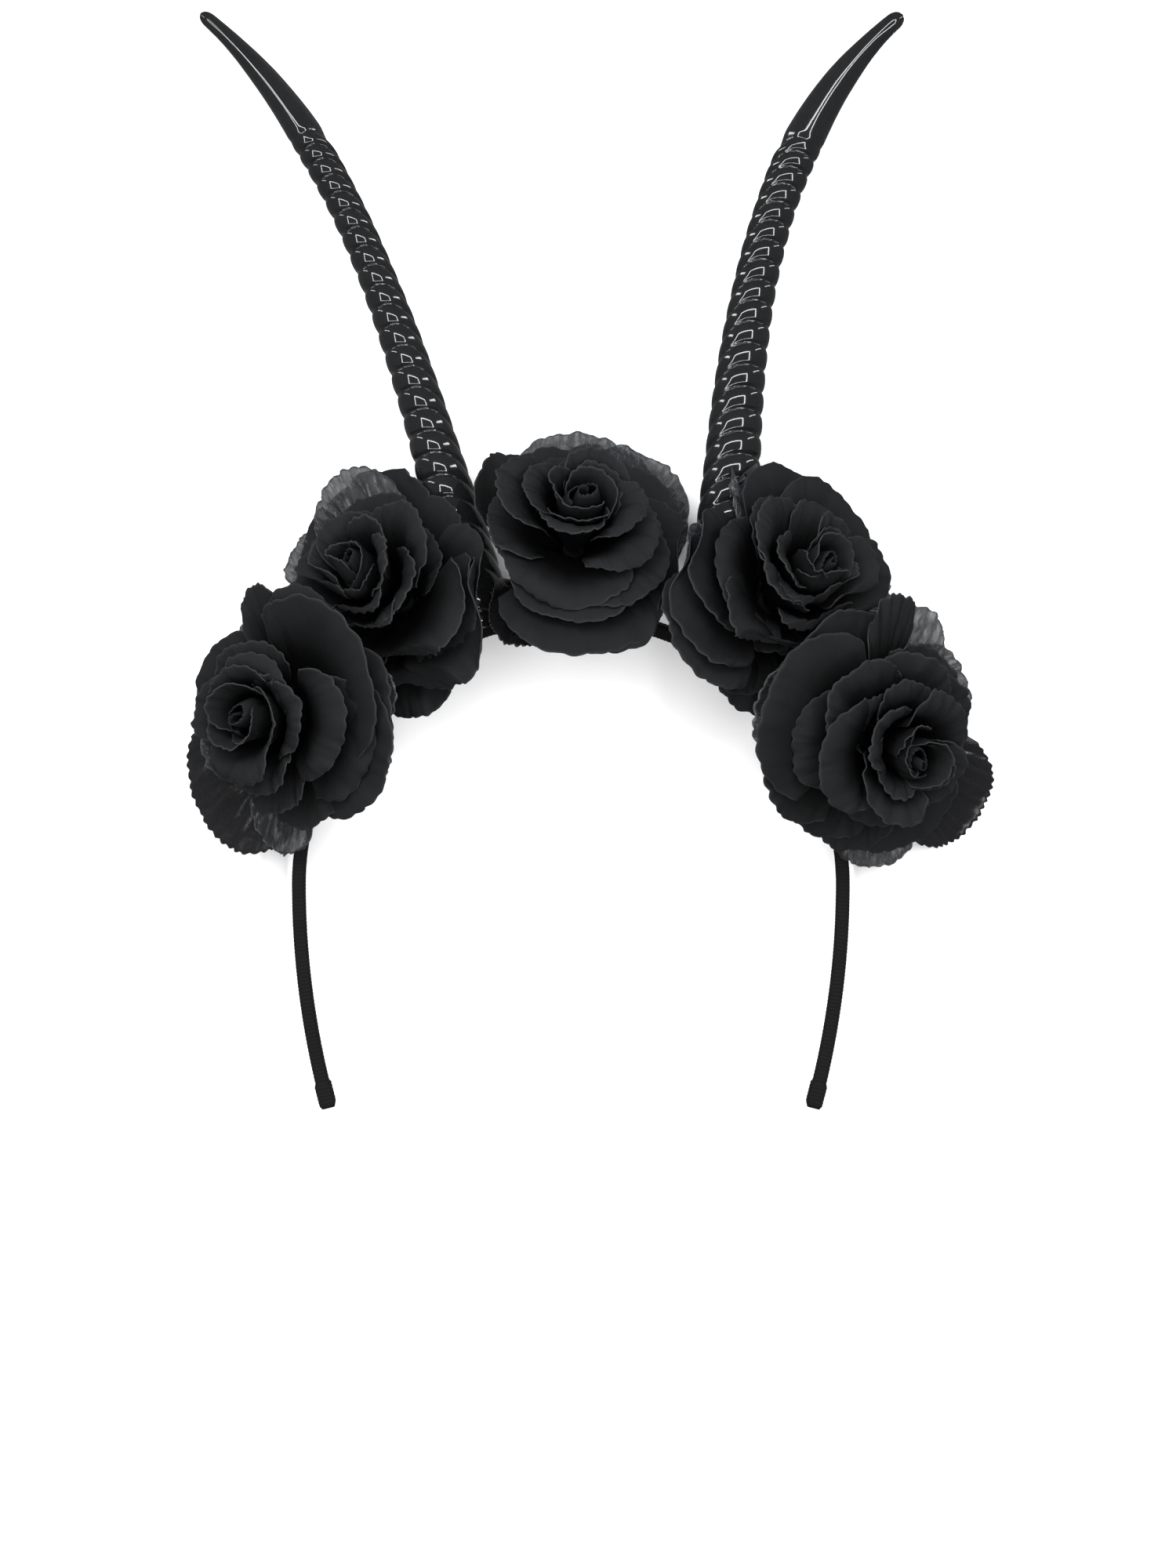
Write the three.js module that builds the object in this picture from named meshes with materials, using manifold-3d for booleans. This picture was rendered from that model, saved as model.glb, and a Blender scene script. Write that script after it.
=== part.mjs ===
// A costume headband with two ribbed horns and five fabric roses, lying on its back.
// Millimetres. Z is up, out of the headpiece's front. Y runs from the band's ends to the horn tips.
// Before the last step the origin is the middle of the band's arch, on the surface that it lies on.
import * as THREE from "three";
import { mergeVertices } from "three/addons/utils/BufferGeometryUtils.js";
import Module from "manifold-3d";

const wasm = await Module();
wasm.setup();

// Driving dimensions of the whole
const GAP = 0.4; // clearance between neighbouring pieces
const SAFE_GAP = 0.6; // clearance where a petal is cut beside a horn, the band or another rose
const TOLERANCE = 0.05; // how far a cut edge may be straightened
const WELD = 1e-4; // corners nearer than this are one

// Driving dimensions of the band
const ARCH_RADIUS = 81.5; // centreline of the half circle over the head
const ARM_RADIUS = 262; // centreline of the inward curve of each arm
const ARM_DROP = 67; // from the arch's middle to the band's end
const BAND_WIDTH = 9; // front edge to back edge
const BAND_THICKNESS = 4.2; // inner face to outer face, ribbon and core together
const BAND_CORNER = 1.3; // bevel of the ribbon's turned edges
const BAND_LEAN = THREE.MathUtils.degToRad(8); // the crown stands up from the surface by this angle
const HEM_LENGTH = 7; // ribbon folded over at each end
const HEM_EXTRA = 0.5; // what the fold adds to each face
const HEM_RAMP = 1.1; // where the fold's edge has run out, in hem lengths
const ARCH_STEPS = 25; // an odd number, so that one facet lies across the crown
const ARM_STEPS = 4;
const DISC_STEPS = 100; // facets of the round cut that seats everything on the band

// Driving dimensions of the horns
const HORN_LENGTH = 205.5;
const HORN_BASE_HALF = 11; // half of the wide way across the oval section
const HORN_TIP_HALF = 2.5;
const HORN_OVAL = 0.8; // the narrow way across, as a share of the wide way
const HORN_RIBS = 24;
const RIBBED_SHARE = 0.76; // share of the length that has ribs
const RIB_CROWDING = 1.13; // how much closer the ribs stand towards the tip
const RIB_HEIGHT = 1.0; // on the outer front of the horn
const RIB_FADE = 0.65; // share of that height which is lost on the inner back
const RIB_SLOPE = 0.35; // how far a rib drops towards the back, as a share of the radius
const RIB_FRONT = THREE.MathUtils.degToRad(40); // where the ribs stand highest, outwards from straight up
const HORN_SUNK = 0.04; // share of the length that starts inside the band, before the seat is cut
const HORN_SIDES = 10;
const LINE_STEPS = 400; // how finely the centreline is worked out
const TIP_STEPS = 6;
const TIP_ROUNDING = 1.4; // length of the rounded tip, in half widths of the tip
const TIP_RINGS = [0.9, 0.3, 0.02]; // last rings before the end, in half widths of the tip
const RIBLESS_TIP = 0.03; // share of the length at the tip where the rings stand square
const HORN_BEND_POWER = 2.8; // how late along the horn its bend comes
const HORN_SAG_POWER = 1.3; // how early along the horn it comes down to the surface

// Each horn: where it sits on the arch, its splay and bend from straight up, and the turn of its oval, in degrees
const HORNS = [
  { name: "horn_left", seat: 107, side: -1, splay: 16.5, bend: 34, roll: 75 },
  { name: "horn_right", seat: 58, side: 1, splay: 3.4, bend: 49, roll: 0 },
];

// One rib, from a groove to the next: share of the pitch, and share of the height
const RIB_PROFILE = [
  { part: 0, rib: 0 },
  { part: 0.25, rib: 1 },
  { part: 0.75, rib: 1 },
];

// Driving dimensions of the roses
const ROSE_RADIUS = 37; // rim of the outer petals
const ROSE_DEPTH = 37; // from the lowest petals' root to the top of the bud
const ROSE_STAND_OFF = 15; // from the band's outer face to a usual rose's root
const ROSE_LIFT = 29; // height of a usual rose's root over the surface
const PETAL_WALL = 1;
const CORE_RADIUS = 3.4; // the stem inside the petals
const STALK_RADIUS = 3.6; // the stem's foot, glued to the band
const STALK_BITE = 1.8; // how far the stalk runs into the stem
const CORE_SIDES = 8;
const BUD_RADIUS = 6.4;
const BUD_EYE = 1.2; // the innermost turn
const BUD_TURNS = 1.6;
const BUD_STEPS = 13;

// Each rose: angles in degrees, distances as shares of the stand-off and lift. Seat and root go round the arch,
// facing is the compass direction of its axis seen from the front, tilt is its lean from straight up,
// turn rolls its petals, and size is a share of the radius.
const ROSES = [
  { name: "rose_1", seat: 146, root: 146.1, off: 0.63, lift: 1, facing: 184, tilt: 37, turn: 56, size: 1.06 },
  { name: "rose_2", seat: 121.5, root: 119.5, off: 0.76, lift: 1.03, facing: 145.4, tilt: 44, turn: 52, size: 1.03 },
  { name: "rose_3", seat: 90, root: 90, off: 0.85, lift: 1, facing: 78.3, tilt: 38, turn: 12, size: 1.02 },
  { name: "rose_4", seat: 44, root: 56.2, off: 1.06, lift: 1.16, facing: 30.5, tilt: 48, turn: 76, size: 1.03 },
  { name: "rose_5", seat: 29, root: 28.5, off: 0.93, lift: 1.08, facing: -28, tilt: 34, turn: 98, size: 1.08 },
];

// The borders between neighbouring roses: angle round the arch, and the lean of its plane. With a lean over
// zero the rose before it reaches over the next, under zero the next reaches over it.
const BORDERS = [
  { at: 135, lean: 30 },
  { at: 103.2, lean: -15 },
  { at: 71, lean: 0 },
  { at: 40.5, lean: -30 },
];
const BORDER_HEIGHT = 36; // where each border stands at its angle

// Each layer of petals, from the back: root is its height in shares of the rose's depth, length is its share of
// the radius, rise and flare are the petals' angles from the axis at root and rim, in degrees,
// cup lifts the side edges and pin lifts one side over the next petal, as shares of the radius.
const LAYERS = [
  { name: "organza", petals: 5, root: 0, length: 0.97, rise: 78, flare: 90, turn: 36, cup: 0.02, pin: 0.03 },
  { name: "outer", petals: 5, root: 0.08, length: 0.91, rise: 62, flare: 84, turn: 0, cup: 0.03, pin: 0.04 },
  { name: "middle", petals: 5, root: 0.25, length: 0.78, rise: 40, flare: 68, turn: 36, cup: 0.02, pin: 0.05 },
  { name: "inner", petals: 4, root: 0.42, length: 0.58, rise: 14, flare: 40, turn: 15, cup: 0, pin: 0.05 },
];

// Single satin leaves behind some of the roses, in the same terms. Turn is the leaf's own direction.
const LEAVES = [
  { rose: "rose_1", petals: 5, root: -0.12, length: 1.2, rise: 82, flare: 81, turn: 122, cup: -0.03, pin: 0 },
  { rose: "rose_3", petals: 6, root: -0.12, length: 0.98, rise: 88, flare: 80, turn: 176, cup: -0.03, pin: 0 },
  { rose: "rose_5", petals: 5, root: -0.12, length: 1.22, rise: 82, flare: 86, turn: 196, cup: -0.03, pin: 0 },
];
const NOTCH = 0.42; // share of a petal's length at which the petals of a layer part
const SLIT = 0.6; // how far each petal's side edge stands back from the next petal

// A petal's rim from side to side: place across, and share of the length
const PETAL_OUTLINE = [
  { side: -1, along: 0.74 },
  { side: -0.55, along: 0.97 },
  { side: 0, along: 1 },
  { side: 0.55, along: 0.97 },
  { side: 1, along: 0.74 },
];

// The bud's levels from foot to top: share of its height, share of its radius
const BUD_LEVELS = [
  { high: 0, wide: 0.6 },
  { high: 0.5, wide: 1 },
  { high: 1, wide: 0.72 },
];
const BUD_ROOT = 0.54; // height of the bud's foot, in shares of the rose's depth
const BUD_TOP = 0.95; // height of its top

// Materials, as the real pieces look
const finish = (color, roughness, side = THREE.DoubleSide) =>
  new THREE.MeshStandardMaterial({ color, roughness, metalness: 0, side });
const cloth = finish(0x1b1d1f, 0.85);
const organza = finish(0x3a3d42, 0.4);
const satin = finish(0x1c1c20, 0.35);
const ribbon = finish(0x171616, 0.8, THREE.FrontSide);
const glossyPlastic = finish(0x121314, 0.15, THREE.FrontSide);

const rad = THREE.MathUtils.degToRad;
const mix = THREE.MathUtils.lerp;
const vec = (x, y, z) => new THREE.Vector3(x, y, z);
const polar = (radius, degrees, z = 0) => vec(radius * Math.cos(rad(degrees)), radius * Math.sin(rad(degrees)), z);

// A point of the band's own flat plane, taken to where the leaning band holds it
const archLift = (BAND_WIDTH / 2) * Math.cos(BAND_LEAN) + ARM_DROP * Math.sin(BAND_LEAN);
const lean = (point) => point.applyAxisAngle(vec(1, 0, 0), BAND_LEAN).add(vec(0, 0, archLift));

// Turns a closed three.js geometry into a solid that can be cut and joined
function toSolid(geometry) {
  const bare = new THREE.BufferGeometry().setAttribute("position", geometry.getAttribute("position"));
  bare.setIndex(geometry.index);
  const merged = mergeVertices(bare, WELD);
  return new wasm.Manifold(
    new wasm.Mesh({
      numProp: 3,
      vertProperties: new Float32Array(merged.getAttribute("position").array),
      triVerts: new Uint32Array(merged.index.array),
    }),
  );
}

// Turns a solid back into a mesh, keeping its largest body where a cut has left crumbs
function toMesh(name, solid, material) {
  const bodies = solid.simplify(TOLERANCE).decompose().sort((a, b) => b.volume() - a.volume());
  const { vertProperties, triVerts, numProp, numVert } = bodies[0].getMesh();
  const positions = new Float32Array(numVert * 3);
  for (let i = 0; i < numVert; i++) positions.set(vertProperties.subarray(i * numProp, i * numProp + 3), i * 3);
  const geometry = new THREE.BufferGeometry();
  geometry.setAttribute("position", new THREE.BufferAttribute(positions, 3));
  geometry.setIndex(new THREE.BufferAttribute(new Uint32Array(triVerts), 1));
  geometry.computeVertexNormals();
  const mesh = new THREE.Mesh(geometry, material);
  mesh.name = name;
  return mesh;
}

// A geometry from points and faces
function geometryOf(points, faces) {
  const geometry = new THREE.BufferGeometry().setFromPoints(points);
  geometry.setIndex(faces.flat());
  return geometry;
}

// A closed body through rings of points, which turn anticlockwise seen from the end that they lead to
function loft(rings) {
  const sides = rings[0].length;
  const points = rings.flat();
  const faces = [];
  for (let r = 0; r + 1 < rings.length; r++) {
    for (let s = 0; s < sides; s++) {
      const a = r * sides + s;
      const b = r * sides + ((s + 1) % sides);
      faces.push([a, b, b + sides], [a, b + sides, a + sides]);
    }
  }
  for (const [ring, start] of [[0, true], [rings.length - 1, false]]) {
    const middle = points.length;
    points.push(rings[ring].reduce((sum, p) => sum.add(p), vec(0, 0, 0)).divideScalar(sides));
    for (let s = 0; s < sides; s++) {
      const a = ring * sides + s;
      const b = ring * sides + ((s + 1) % sides);
      faces.push(start ? [middle, b, a] : [middle, a, b]);
    }
  }
  return geometryOf(points, faces);
}

// A closed wall of cloth. Surface gives a point of its faces from a place and an offset, and quads name its patches.
function clothWall(places, quads, surface) {
  const other = places.length;
  const half = PETAL_WALL / 2;
  const points = [half, -half].flatMap((offset) => places.map((place) => surface(place, offset)));
  const faces = [];
  const edges = new Map();
  for (const quad of quads) {
    const [a, b, c, d] = quad;
    faces.push([a, b, c], [a, c, d], [a + other, c + other, b + other], [a + other, d + other, c + other]);
    quad.forEach((from, i) => {
      const to = quad[(i + 1) % quad.length];
      if (!edges.delete(`${to},${from}`)) edges.set(`${from},${to}`, [from, to]);
    });
  }
  for (const [from, to] of edges.values()) faces.push([to, from, from + other], [to, from + other, to + other]);
  return geometryOf(points, faces);
}

// The ribbon-covered band: a bevelled section swept over the arch and down both arms, or with room around it
function bandGeometry(room = 0) {
  const armAngle = Math.asin(ARM_DROP / ARM_RADIUS);
  const hemAngle = HEM_LENGTH / ARM_RADIUS;
  const stations = [];
  const arm = (side, angle, extra) => {
    const x = side * (ARCH_RADIUS - ARM_RADIUS * (1 - Math.cos(angle)));
    const outward = side > 0 ? -angle : Math.PI + angle;
    stations.push({ at: vec(x, -ARM_RADIUS * Math.sin(angle), 0), outward, extra });
  };
  const plain = armAngle - hemAngle * HEM_RAMP;
  const armAngles = [[armAngle, HEM_EXTRA], [armAngle - hemAngle, HEM_EXTRA], [plain, 0]];
  for (let i = ARM_STEPS - 1; i > 0; i--) armAngles.push([(plain * i) / ARM_STEPS, 0]);
  for (const [angle, extra] of armAngles) arm(1, angle, extra);
  for (let i = 0; i <= ARCH_STEPS; i++) {
    const outward = (Math.PI * i) / ARCH_STEPS;
    const at = vec(ARCH_RADIUS * Math.cos(outward), ARCH_RADIUS * Math.sin(outward), 0);
    stations.push({ at, outward, extra: 0 });
  }
  for (const [angle, extra] of armAngles.reverse()) arm(-1, angle, extra);
  const rings = stations.map(({ at, outward, extra }) => {
    const t = BAND_THICKNESS / 2 + extra + room;
    const w = BAND_WIDTH / 2 + room;
    const c = BAND_CORNER;
    const back = [[t, c - w], [t - c, -w], [c - t, -w], [-t, c - w]];
    const section = [...back, [-t, w - c], [c - t, w], [t - c, w], [t, w - c]];
    return section.map(([out, front]) =>
      lean(vec(at.x + out * Math.cos(outward), at.y + out * Math.sin(outward), front)),
    );
  });
  return loft(rings);
}

// Everything inside the band's outer face, cut from what is glued on that face
function insideBand() {
  const reach = ARCH_RADIUS + BAND_THICKNESS / 2 + GAP;
  const disc = new THREE.CylinderGeometry(reach, reach, ARCH_RADIUS, DISC_STEPS);
  disc.rotateX(Math.PI / 2 + BAND_LEAN);
  disc.translate(0, 0, archLift);
  return toSolid(disc);
}

// The middle of the band's outer face at an angle round the arch
const bandFace = (degrees) => lean(polar(ARCH_RADIUS + BAND_THICKNESS / 2, degrees));

// Half of the horn's wide way across, at a share of its length
function hornHalf(share) {
  const taper = mix(HORN_BASE_HALF, HORN_TIP_HALF, share);
  const tip = (1 - share) * HORN_LENGTH;
  const round = HORN_TIP_HALF * TIP_ROUNDING;
  return tip < round ? taper * Math.sqrt(1 - (1 - tip / round) ** 2) : taper;
}

// Shares of the horn's length where its rings stand, each with the height of the rib there
function hornStations() {
  const ribbed = (count) => RIBBED_SHARE * (1 - (1 - count / HORN_RIBS) ** RIB_CROWDING);
  const stations = [{ share: -HORN_SUNK, rib: 0 }];
  for (let i = 0; i < HORN_RIBS; i++) {
    for (const { part, rib } of RIB_PROFILE) stations.push({ share: ribbed(i + part), rib });
  }
  for (let i = 0; i < TIP_STEPS; i++) {
    stations.push({ share: mix(RIBBED_SHARE, 1, i / TIP_STEPS), rib: 0 });
  }
  for (const before of TIP_RINGS) stations.push({ share: 1 - (before * HORN_TIP_HALF) / HORN_LENGTH, rib: 0 });
  return stations;
}

// The horn's centreline: it starts on the band, splays and bends outwards and comes down to the surface
function hornLine({ seat, side, splay, bend, roll }) {
  const start = bandFace(seat);
  const endHeight = HORN_TIP_HALF * Math.hypot(Math.sin(rad(roll)), HORN_OVAL * Math.cos(rad(roll)));
  const table = [];
  const at = start.clone();
  for (let i = 0; i <= LINE_STEPS; i++) {
    const share = i / LINE_STEPS;
    const height = endHeight + (start.z - endHeight) * (1 - share) ** HORN_SAG_POWER;
    table.push(vec(at.x, at.y, height));
    const angle = rad(splay + bend * (share + 0.5 / LINE_STEPS) ** HORN_BEND_POWER);
    const step = HORN_LENGTH / LINE_STEPS;
    at.add(vec(side * step * Math.sin(angle), step * Math.cos(angle), 0));
  }
  return (share) => {
    const place = Math.max(0, Math.min(1, share)) * LINE_STEPS;
    const low = Math.min(LINE_STEPS - 1, Math.floor(place));
    const point = table[low].clone().lerp(table[low + 1], place - low);
    const tangent = table[low + 1].clone().sub(table[low]).normalize();
    return { point: point.addScaledVector(tangent, Math.min(0, share) * HORN_LENGTH), tangent };
  };
}

// A horn, or with extra the room that it needs
function hornSolid(horn, extra = 0) {
  const line = hornLine(horn);
  const rings = hornStations().map(({ share, rib }) => {
    const { point, tangent } = line(share);
    const front = vec(0, 0, 1).addScaledVector(tangent, -tangent.z).normalize();
    const across = tangent.clone().cross(front);
    const half = hornHalf(Math.max(0, share));
    return Array.from({ length: HORN_SIDES }, (_, i) => {
      const turn = (2 * Math.PI * i) / HORN_SIDES;
      const own = turn - rad(horn.roll);
      const oval = Math.hypot(Math.sin(own), HORN_OVAL * Math.cos(own));
      const facing = 0.5 + 0.5 * Math.cos(turn - horn.side * RIB_FRONT);
      const relief = rib * RIB_HEIGHT * (1 - RIB_FADE * (1 - facing)) * Math.min(1, half / (2 * HORN_TIP_HALF));
      const radius = half * oval + relief + extra;
      const drop = share < 1 - RIBLESS_TIP ? RIB_SLOPE * half * (facing - 0.5) : 0;
      return point
        .clone()
        .addScaledVector(front, radius * Math.cos(turn))
        .addScaledVector(across, radius * Math.sin(turn))
        .addScaledVector(tangent, drop);
    });
  });
  return toSolid(loft(rings)).subtract(insideBand());
}

// The place of a rose: its root over the band and the turn that takes its own Z to its axis
function rosePlace({ root, off, lift, facing, tilt, turn }) {
  const reach = ARCH_RADIUS + BAND_THICKNESS / 2 + ROSE_STAND_OFF * off;
  const at = polar(reach, root, ROSE_LIFT * lift);
  const axis = polar(Math.sin(rad(tilt)), facing, Math.cos(rad(tilt)));
  const turned = new THREE.Quaternion().setFromUnitVectors(vec(0, 0, 1), axis);
  turned.multiply(new THREE.Quaternion().setFromAxisAngle(vec(0, 0, 1), rad(turn)));
  return new THREE.Matrix4().compose(at, turned, vec(1, 1, 1));
}

// A point of a layer. Petal and side place it round the stem, along is its share of the way from root to rim.
function petalPoint(layer, size, { petal, side, along }, offset) {
  const reach = ROSE_RADIUS * size;
  const length = layer.length * reach;
  const rise = rad(layer.rise);
  const curl = (rad(layer.flare) - rise) / length;
  const angle = rise + curl * along * length;
  const seated = CORE_RADIUS + GAP + (PETAL_WALL / 2) * Math.cos(rise);
  const radius = seated + (Math.cos(rise) - Math.cos(angle)) / curl;
  const height = layer.root * ROSE_DEPTH * size + (Math.sin(angle) - Math.sin(rise)) / curl;
  const free = Math.max(0, along - NOTCH) / (1 - NOTCH);
  const lift = offset + reach * (layer.cup * side ** 2 + layer.pin * side) * free;
  const turn = rad(layer.turn) + ((petal + 0.5 + side / 2) * 2 * Math.PI) / layer.petals;
  const outward = radius - lift * Math.cos(angle);
  const closed = (side * SLIT * free) / radius;
  const at = turn - closed;
  return vec(outward * Math.cos(at), outward * Math.sin(at), height + lift * Math.sin(angle));
}

// A whole layer, cut from one piece of cloth: a ring round the stem that parts into petals at the notches.
// A leaf is one such petal alone.
function layerSolid(layer, size, alone = false) {
  const places = [];
  const quads = [];
  const add = (place) => places.push(place) - 1;
  const sides = PETAL_OUTLINE.length;
  const patches = sides - 1;
  const count = alone ? 1 : layer.petals;
  const ring = [0, NOTCH].map((along) => {
    const round = Array.from({ length: count * patches }, (_, i) =>
      add({ petal: Math.floor(i / patches), side: PETAL_OUTLINE[i % patches].side, along }),
    );
    return [...round, alone ? add({ petal: 0, side: PETAL_OUTLINE[patches].side, along }) : round[0]];
  });
  for (let petal = 0; petal < count; petal++) {
    const rim = PETAL_OUTLINE.map(({ side, along }) => add({ petal, side, along }));
    for (let i = 0; i < patches; i++) {
      const at = petal * patches + i;
      quads.push([ring[0][at], ring[1][at], ring[1][at + 1], ring[0][at + 1]]);
      quads.push([ring[1][at], rim[i], rim[i + 1], ring[1][at + 1]]);
    }
  }
  return toSolid(clothWall(places, quads, (place, offset) => petalPoint(layer, size, place, offset)));
}

// The rolled strip of cloth in the middle of a rose
function budSolid(size) {
  const foot = BUD_ROOT * ROSE_DEPTH * size + GAP;
  const top = BUD_TOP * ROSE_DEPTH * size;
  const places = [];
  const quads = [];
  for (let level = 0; level < BUD_LEVELS.length; level++) {
    for (let i = 0; i <= BUD_STEPS; i++) {
      places.push({ ...BUD_LEVELS[level], share: i / BUD_STEPS });
      if (level === 0 || i === 0) continue;
      const corner = places.length - 1;
      quads.push([corner - BUD_STEPS - 2, corner - BUD_STEPS - 1, corner, corner - 1]);
    }
  }
  const surface = ({ high, wide, share }, offset) => {
    const radius = mix(BUD_EYE, BUD_RADIUS * size * wide, share) + offset;
    const turn = 2 * Math.PI * BUD_TURNS * share;
    return vec(radius * Math.cos(turn), radius * Math.sin(turn), mix(foot, top, high));
  };
  return toSolid(clothWall(places, quads, surface));
}

// The stem inside the petals, with the stalk that is glued to the band, or with room around it
function coreSolid(rose, place, room = 0) {
  const top = BUD_ROOT * ROSE_DEPTH * rose.size;
  const rod = new THREE.CylinderGeometry(CORE_RADIUS + room, CORE_RADIUS + room, top + STALK_RADIUS, CORE_SIDES);
  rod.rotateX(Math.PI / 2);
  rod.translate(0, 0, (top - STALK_RADIUS) / 2);
  const root = vec(0, 0, -STALK_RADIUS).applyMatrix4(place);
  const seat = bandFace(rose.seat);
  const way = root.clone().sub(seat);
  const start = seat.clone().addScaledVector(way.clone().normalize(), -BAND_THICKNESS);
  const length = root.distanceTo(start) + STALK_BITE;
  const stalk = new THREE.CylinderGeometry(STALK_RADIUS + room, STALK_RADIUS + room, length + room, CORE_SIDES);
  stalk.translate(0, length / 2, 0);
  stalk.applyQuaternion(new THREE.Quaternion().setFromUnitVectors(vec(0, 1, 0), way.clone().normalize()));
  stalk.translate(start.x, start.y, start.z);
  return toSolid(rod.applyMatrix4(place)).add(toSolid(stalk)).subtract(insideBand());
}

// Keeps what lies between a rose's two borders. A border is a leaning plane, so that one rose reaches over the next.
function insideBorders(solid, rose) {
  const place = ROSES.indexOf(rose);
  const trim = (body, border, way) => {
    if (!border) return body;
    const flat = polar(Math.cos(rad(border.lean)), border.at + 90);
    const normal = flat.add(vec(0, 0, Math.sin(rad(border.lean)))).multiplyScalar(way);
    return body.trimByPlane(normal.toArray(), normal.z * BORDER_HEIGHT + SAFE_GAP / 2);
  };
  return trim(trim(solid, BORDERS[place], 1), BORDERS[place - 1], -1);
}

// All pieces of one rose, cut clear of the horns
function rosePieces(rose, hornRoom, bandRoom) {
  const place = rosePlace(rose);
  const taken = hornRoom.add(bandRoom);
  const seated = (solid) => insideBorders(solid.transform(place.elements), rose).subtract(taken);
  const pieces = LAYERS.map((layer) => {
    const material = layer.name === "organza" ? organza : cloth;
    return toMesh(`${rose.name}_${layer.name}_petals`, seated(layerSolid(layer, rose.size)), material);
  });
  for (const leaf of LEAVES.filter((one) => one.rose === rose.name)) {
    const cut = seated(layerSolid(leaf, rose.size, true)).subtract(coreSolid(rose, place, SAFE_GAP));
    pieces.push(toMesh(`${rose.name}_leaf`, cut, satin));
  }
  pieces.push(toMesh(`${rose.name}_bud`, seated(budSolid(rose.size)), cloth));
  pieces.push(toMesh(`${rose.name}_stem`, coreSolid(rose, place).subtract(hornRoom), cloth));
  return pieces;
}

// Assembly, moved so that the middle of its footprint is the origin
const headpiece = new THREE.Group();
const hornRoom = wasm.Manifold.union(HORNS.map((horn) => hornSolid(horn, SAFE_GAP)));
const bandRoom = toSolid(bandGeometry(SAFE_GAP));
headpiece.add(toMesh("band", toSolid(bandGeometry()), ribbon));
for (const horn of HORNS) headpiece.add(toMesh(horn.name, hornSolid(horn), glossyPlastic));
for (const rose of ROSES) headpiece.add(...rosePieces(rose, hornRoom, bandRoom));
const box = new THREE.Box3().setFromObject(headpiece, true);
const middle = box.getCenter(vec(0, 0, 0));
headpiece.position.set(-middle.x, -middle.y, -box.min.z);

export default headpiece;
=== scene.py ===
# A costume headband with two ribbed horns and five fabric roses, lying on its back.
# Metres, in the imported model's own frame. Sizes that the solids also have are the same here.
import math

import bpy
import numpy as np
from bpy.props import FloatProperty, FloatVectorProperty, IntProperty, PointerProperty
from mathutils import Matrix, Quaternion, Vector


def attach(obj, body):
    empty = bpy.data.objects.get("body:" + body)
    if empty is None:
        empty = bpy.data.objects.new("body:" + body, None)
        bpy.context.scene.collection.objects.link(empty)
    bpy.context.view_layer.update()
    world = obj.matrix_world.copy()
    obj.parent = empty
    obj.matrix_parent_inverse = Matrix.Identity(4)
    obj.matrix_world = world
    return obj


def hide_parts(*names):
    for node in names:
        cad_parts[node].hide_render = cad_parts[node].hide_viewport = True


bl_info = {
    "name": "Horned Rose Headband",
    "version": (1, 0, 0),
    "blender": (4, 5, 0),
    "location": "View3D > Sidebar > Headband",
    "description": "Dresses the headband's solids as ribbon, glossy horns and cloth roses",
    "category": "Object",
}

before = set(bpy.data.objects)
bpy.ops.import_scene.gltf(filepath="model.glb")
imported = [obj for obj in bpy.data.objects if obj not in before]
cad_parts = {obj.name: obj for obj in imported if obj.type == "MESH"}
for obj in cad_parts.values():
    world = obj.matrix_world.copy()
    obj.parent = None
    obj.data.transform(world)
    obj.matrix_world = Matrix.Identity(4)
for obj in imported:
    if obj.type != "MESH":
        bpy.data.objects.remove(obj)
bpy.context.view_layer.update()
MM = 0.001

# Where the middle of the band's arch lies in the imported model, and how far the band leans
ARCH_MIDDLE = Vector((-6.148, -97.591, 0.046)) * MM
BAND_LEAN = math.radians(8)

# The horns, in the same terms as their solids, and how far aside each one's foot stands, in millimetres
HORNS = (
    {"name": "horn_left", "seat": 107, "side": -1, "splay": 16.5, "bend": 34, "roll": 75, "aside": -2.4},
    {"name": "horn_right", "seat": 58, "side": 1, "splay": 3.4, "bend": 49, "roll": 0, "aside": 1.4},
)
HORN_BEND_POWER = 2.8
HORN_SAG_POWER = 1.3
HORN_SUNK = 0.035
LINE_STEPS = 400
# The steps of a horn's line, from the band on, that lie near petals
NEAR_STEPS = 160


def table(columns, *rows):
    """A list of rows, each with its values under the columns' names."""
    return [dict(zip(columns.split(), row)) for row in rows]


# The roses, in the same terms as their solids
ROSES = table(
    "name root off lift facing tilt turn size",
    ("rose_1", 146.1, 0.63, 1.00, 184.0, 37, 56, 1.06),
    ("rose_2", 119.5, 0.76, 1.03, 145.4, 44, 52, 1.03),
    ("rose_3", 90.0, 0.85, 1.00, 78.3, 38, 12, 1.02),
    ("rose_4", 56.2, 1.06, 1.16, 30.5, 48, 76, 1.03),
    ("rose_5", 28.5, 0.93, 1.08, -28.0, 34, 98, 1.08),
)
ROSE_STAND_OFF = 15 * MM
ROSE_LIFT = 29 * MM
# The planes between neighbouring roses: how far round the arch each stands, and its lean from upright
BORDERS = table("at lean", (135, 30), (103.2, -15), (71, 0), (40.5, -30))
BORDER_HEIGHT = 36 * MM

# The camera looks straight down on a view this high, level with the horns' feet
VIEW_MIDDLE = (-0.001, -0.0672, 0.03)
VIEW_HEIGHT = 0.468
CAMERA_AWAY = 4.0
FLOOR_HALF = 3
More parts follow.
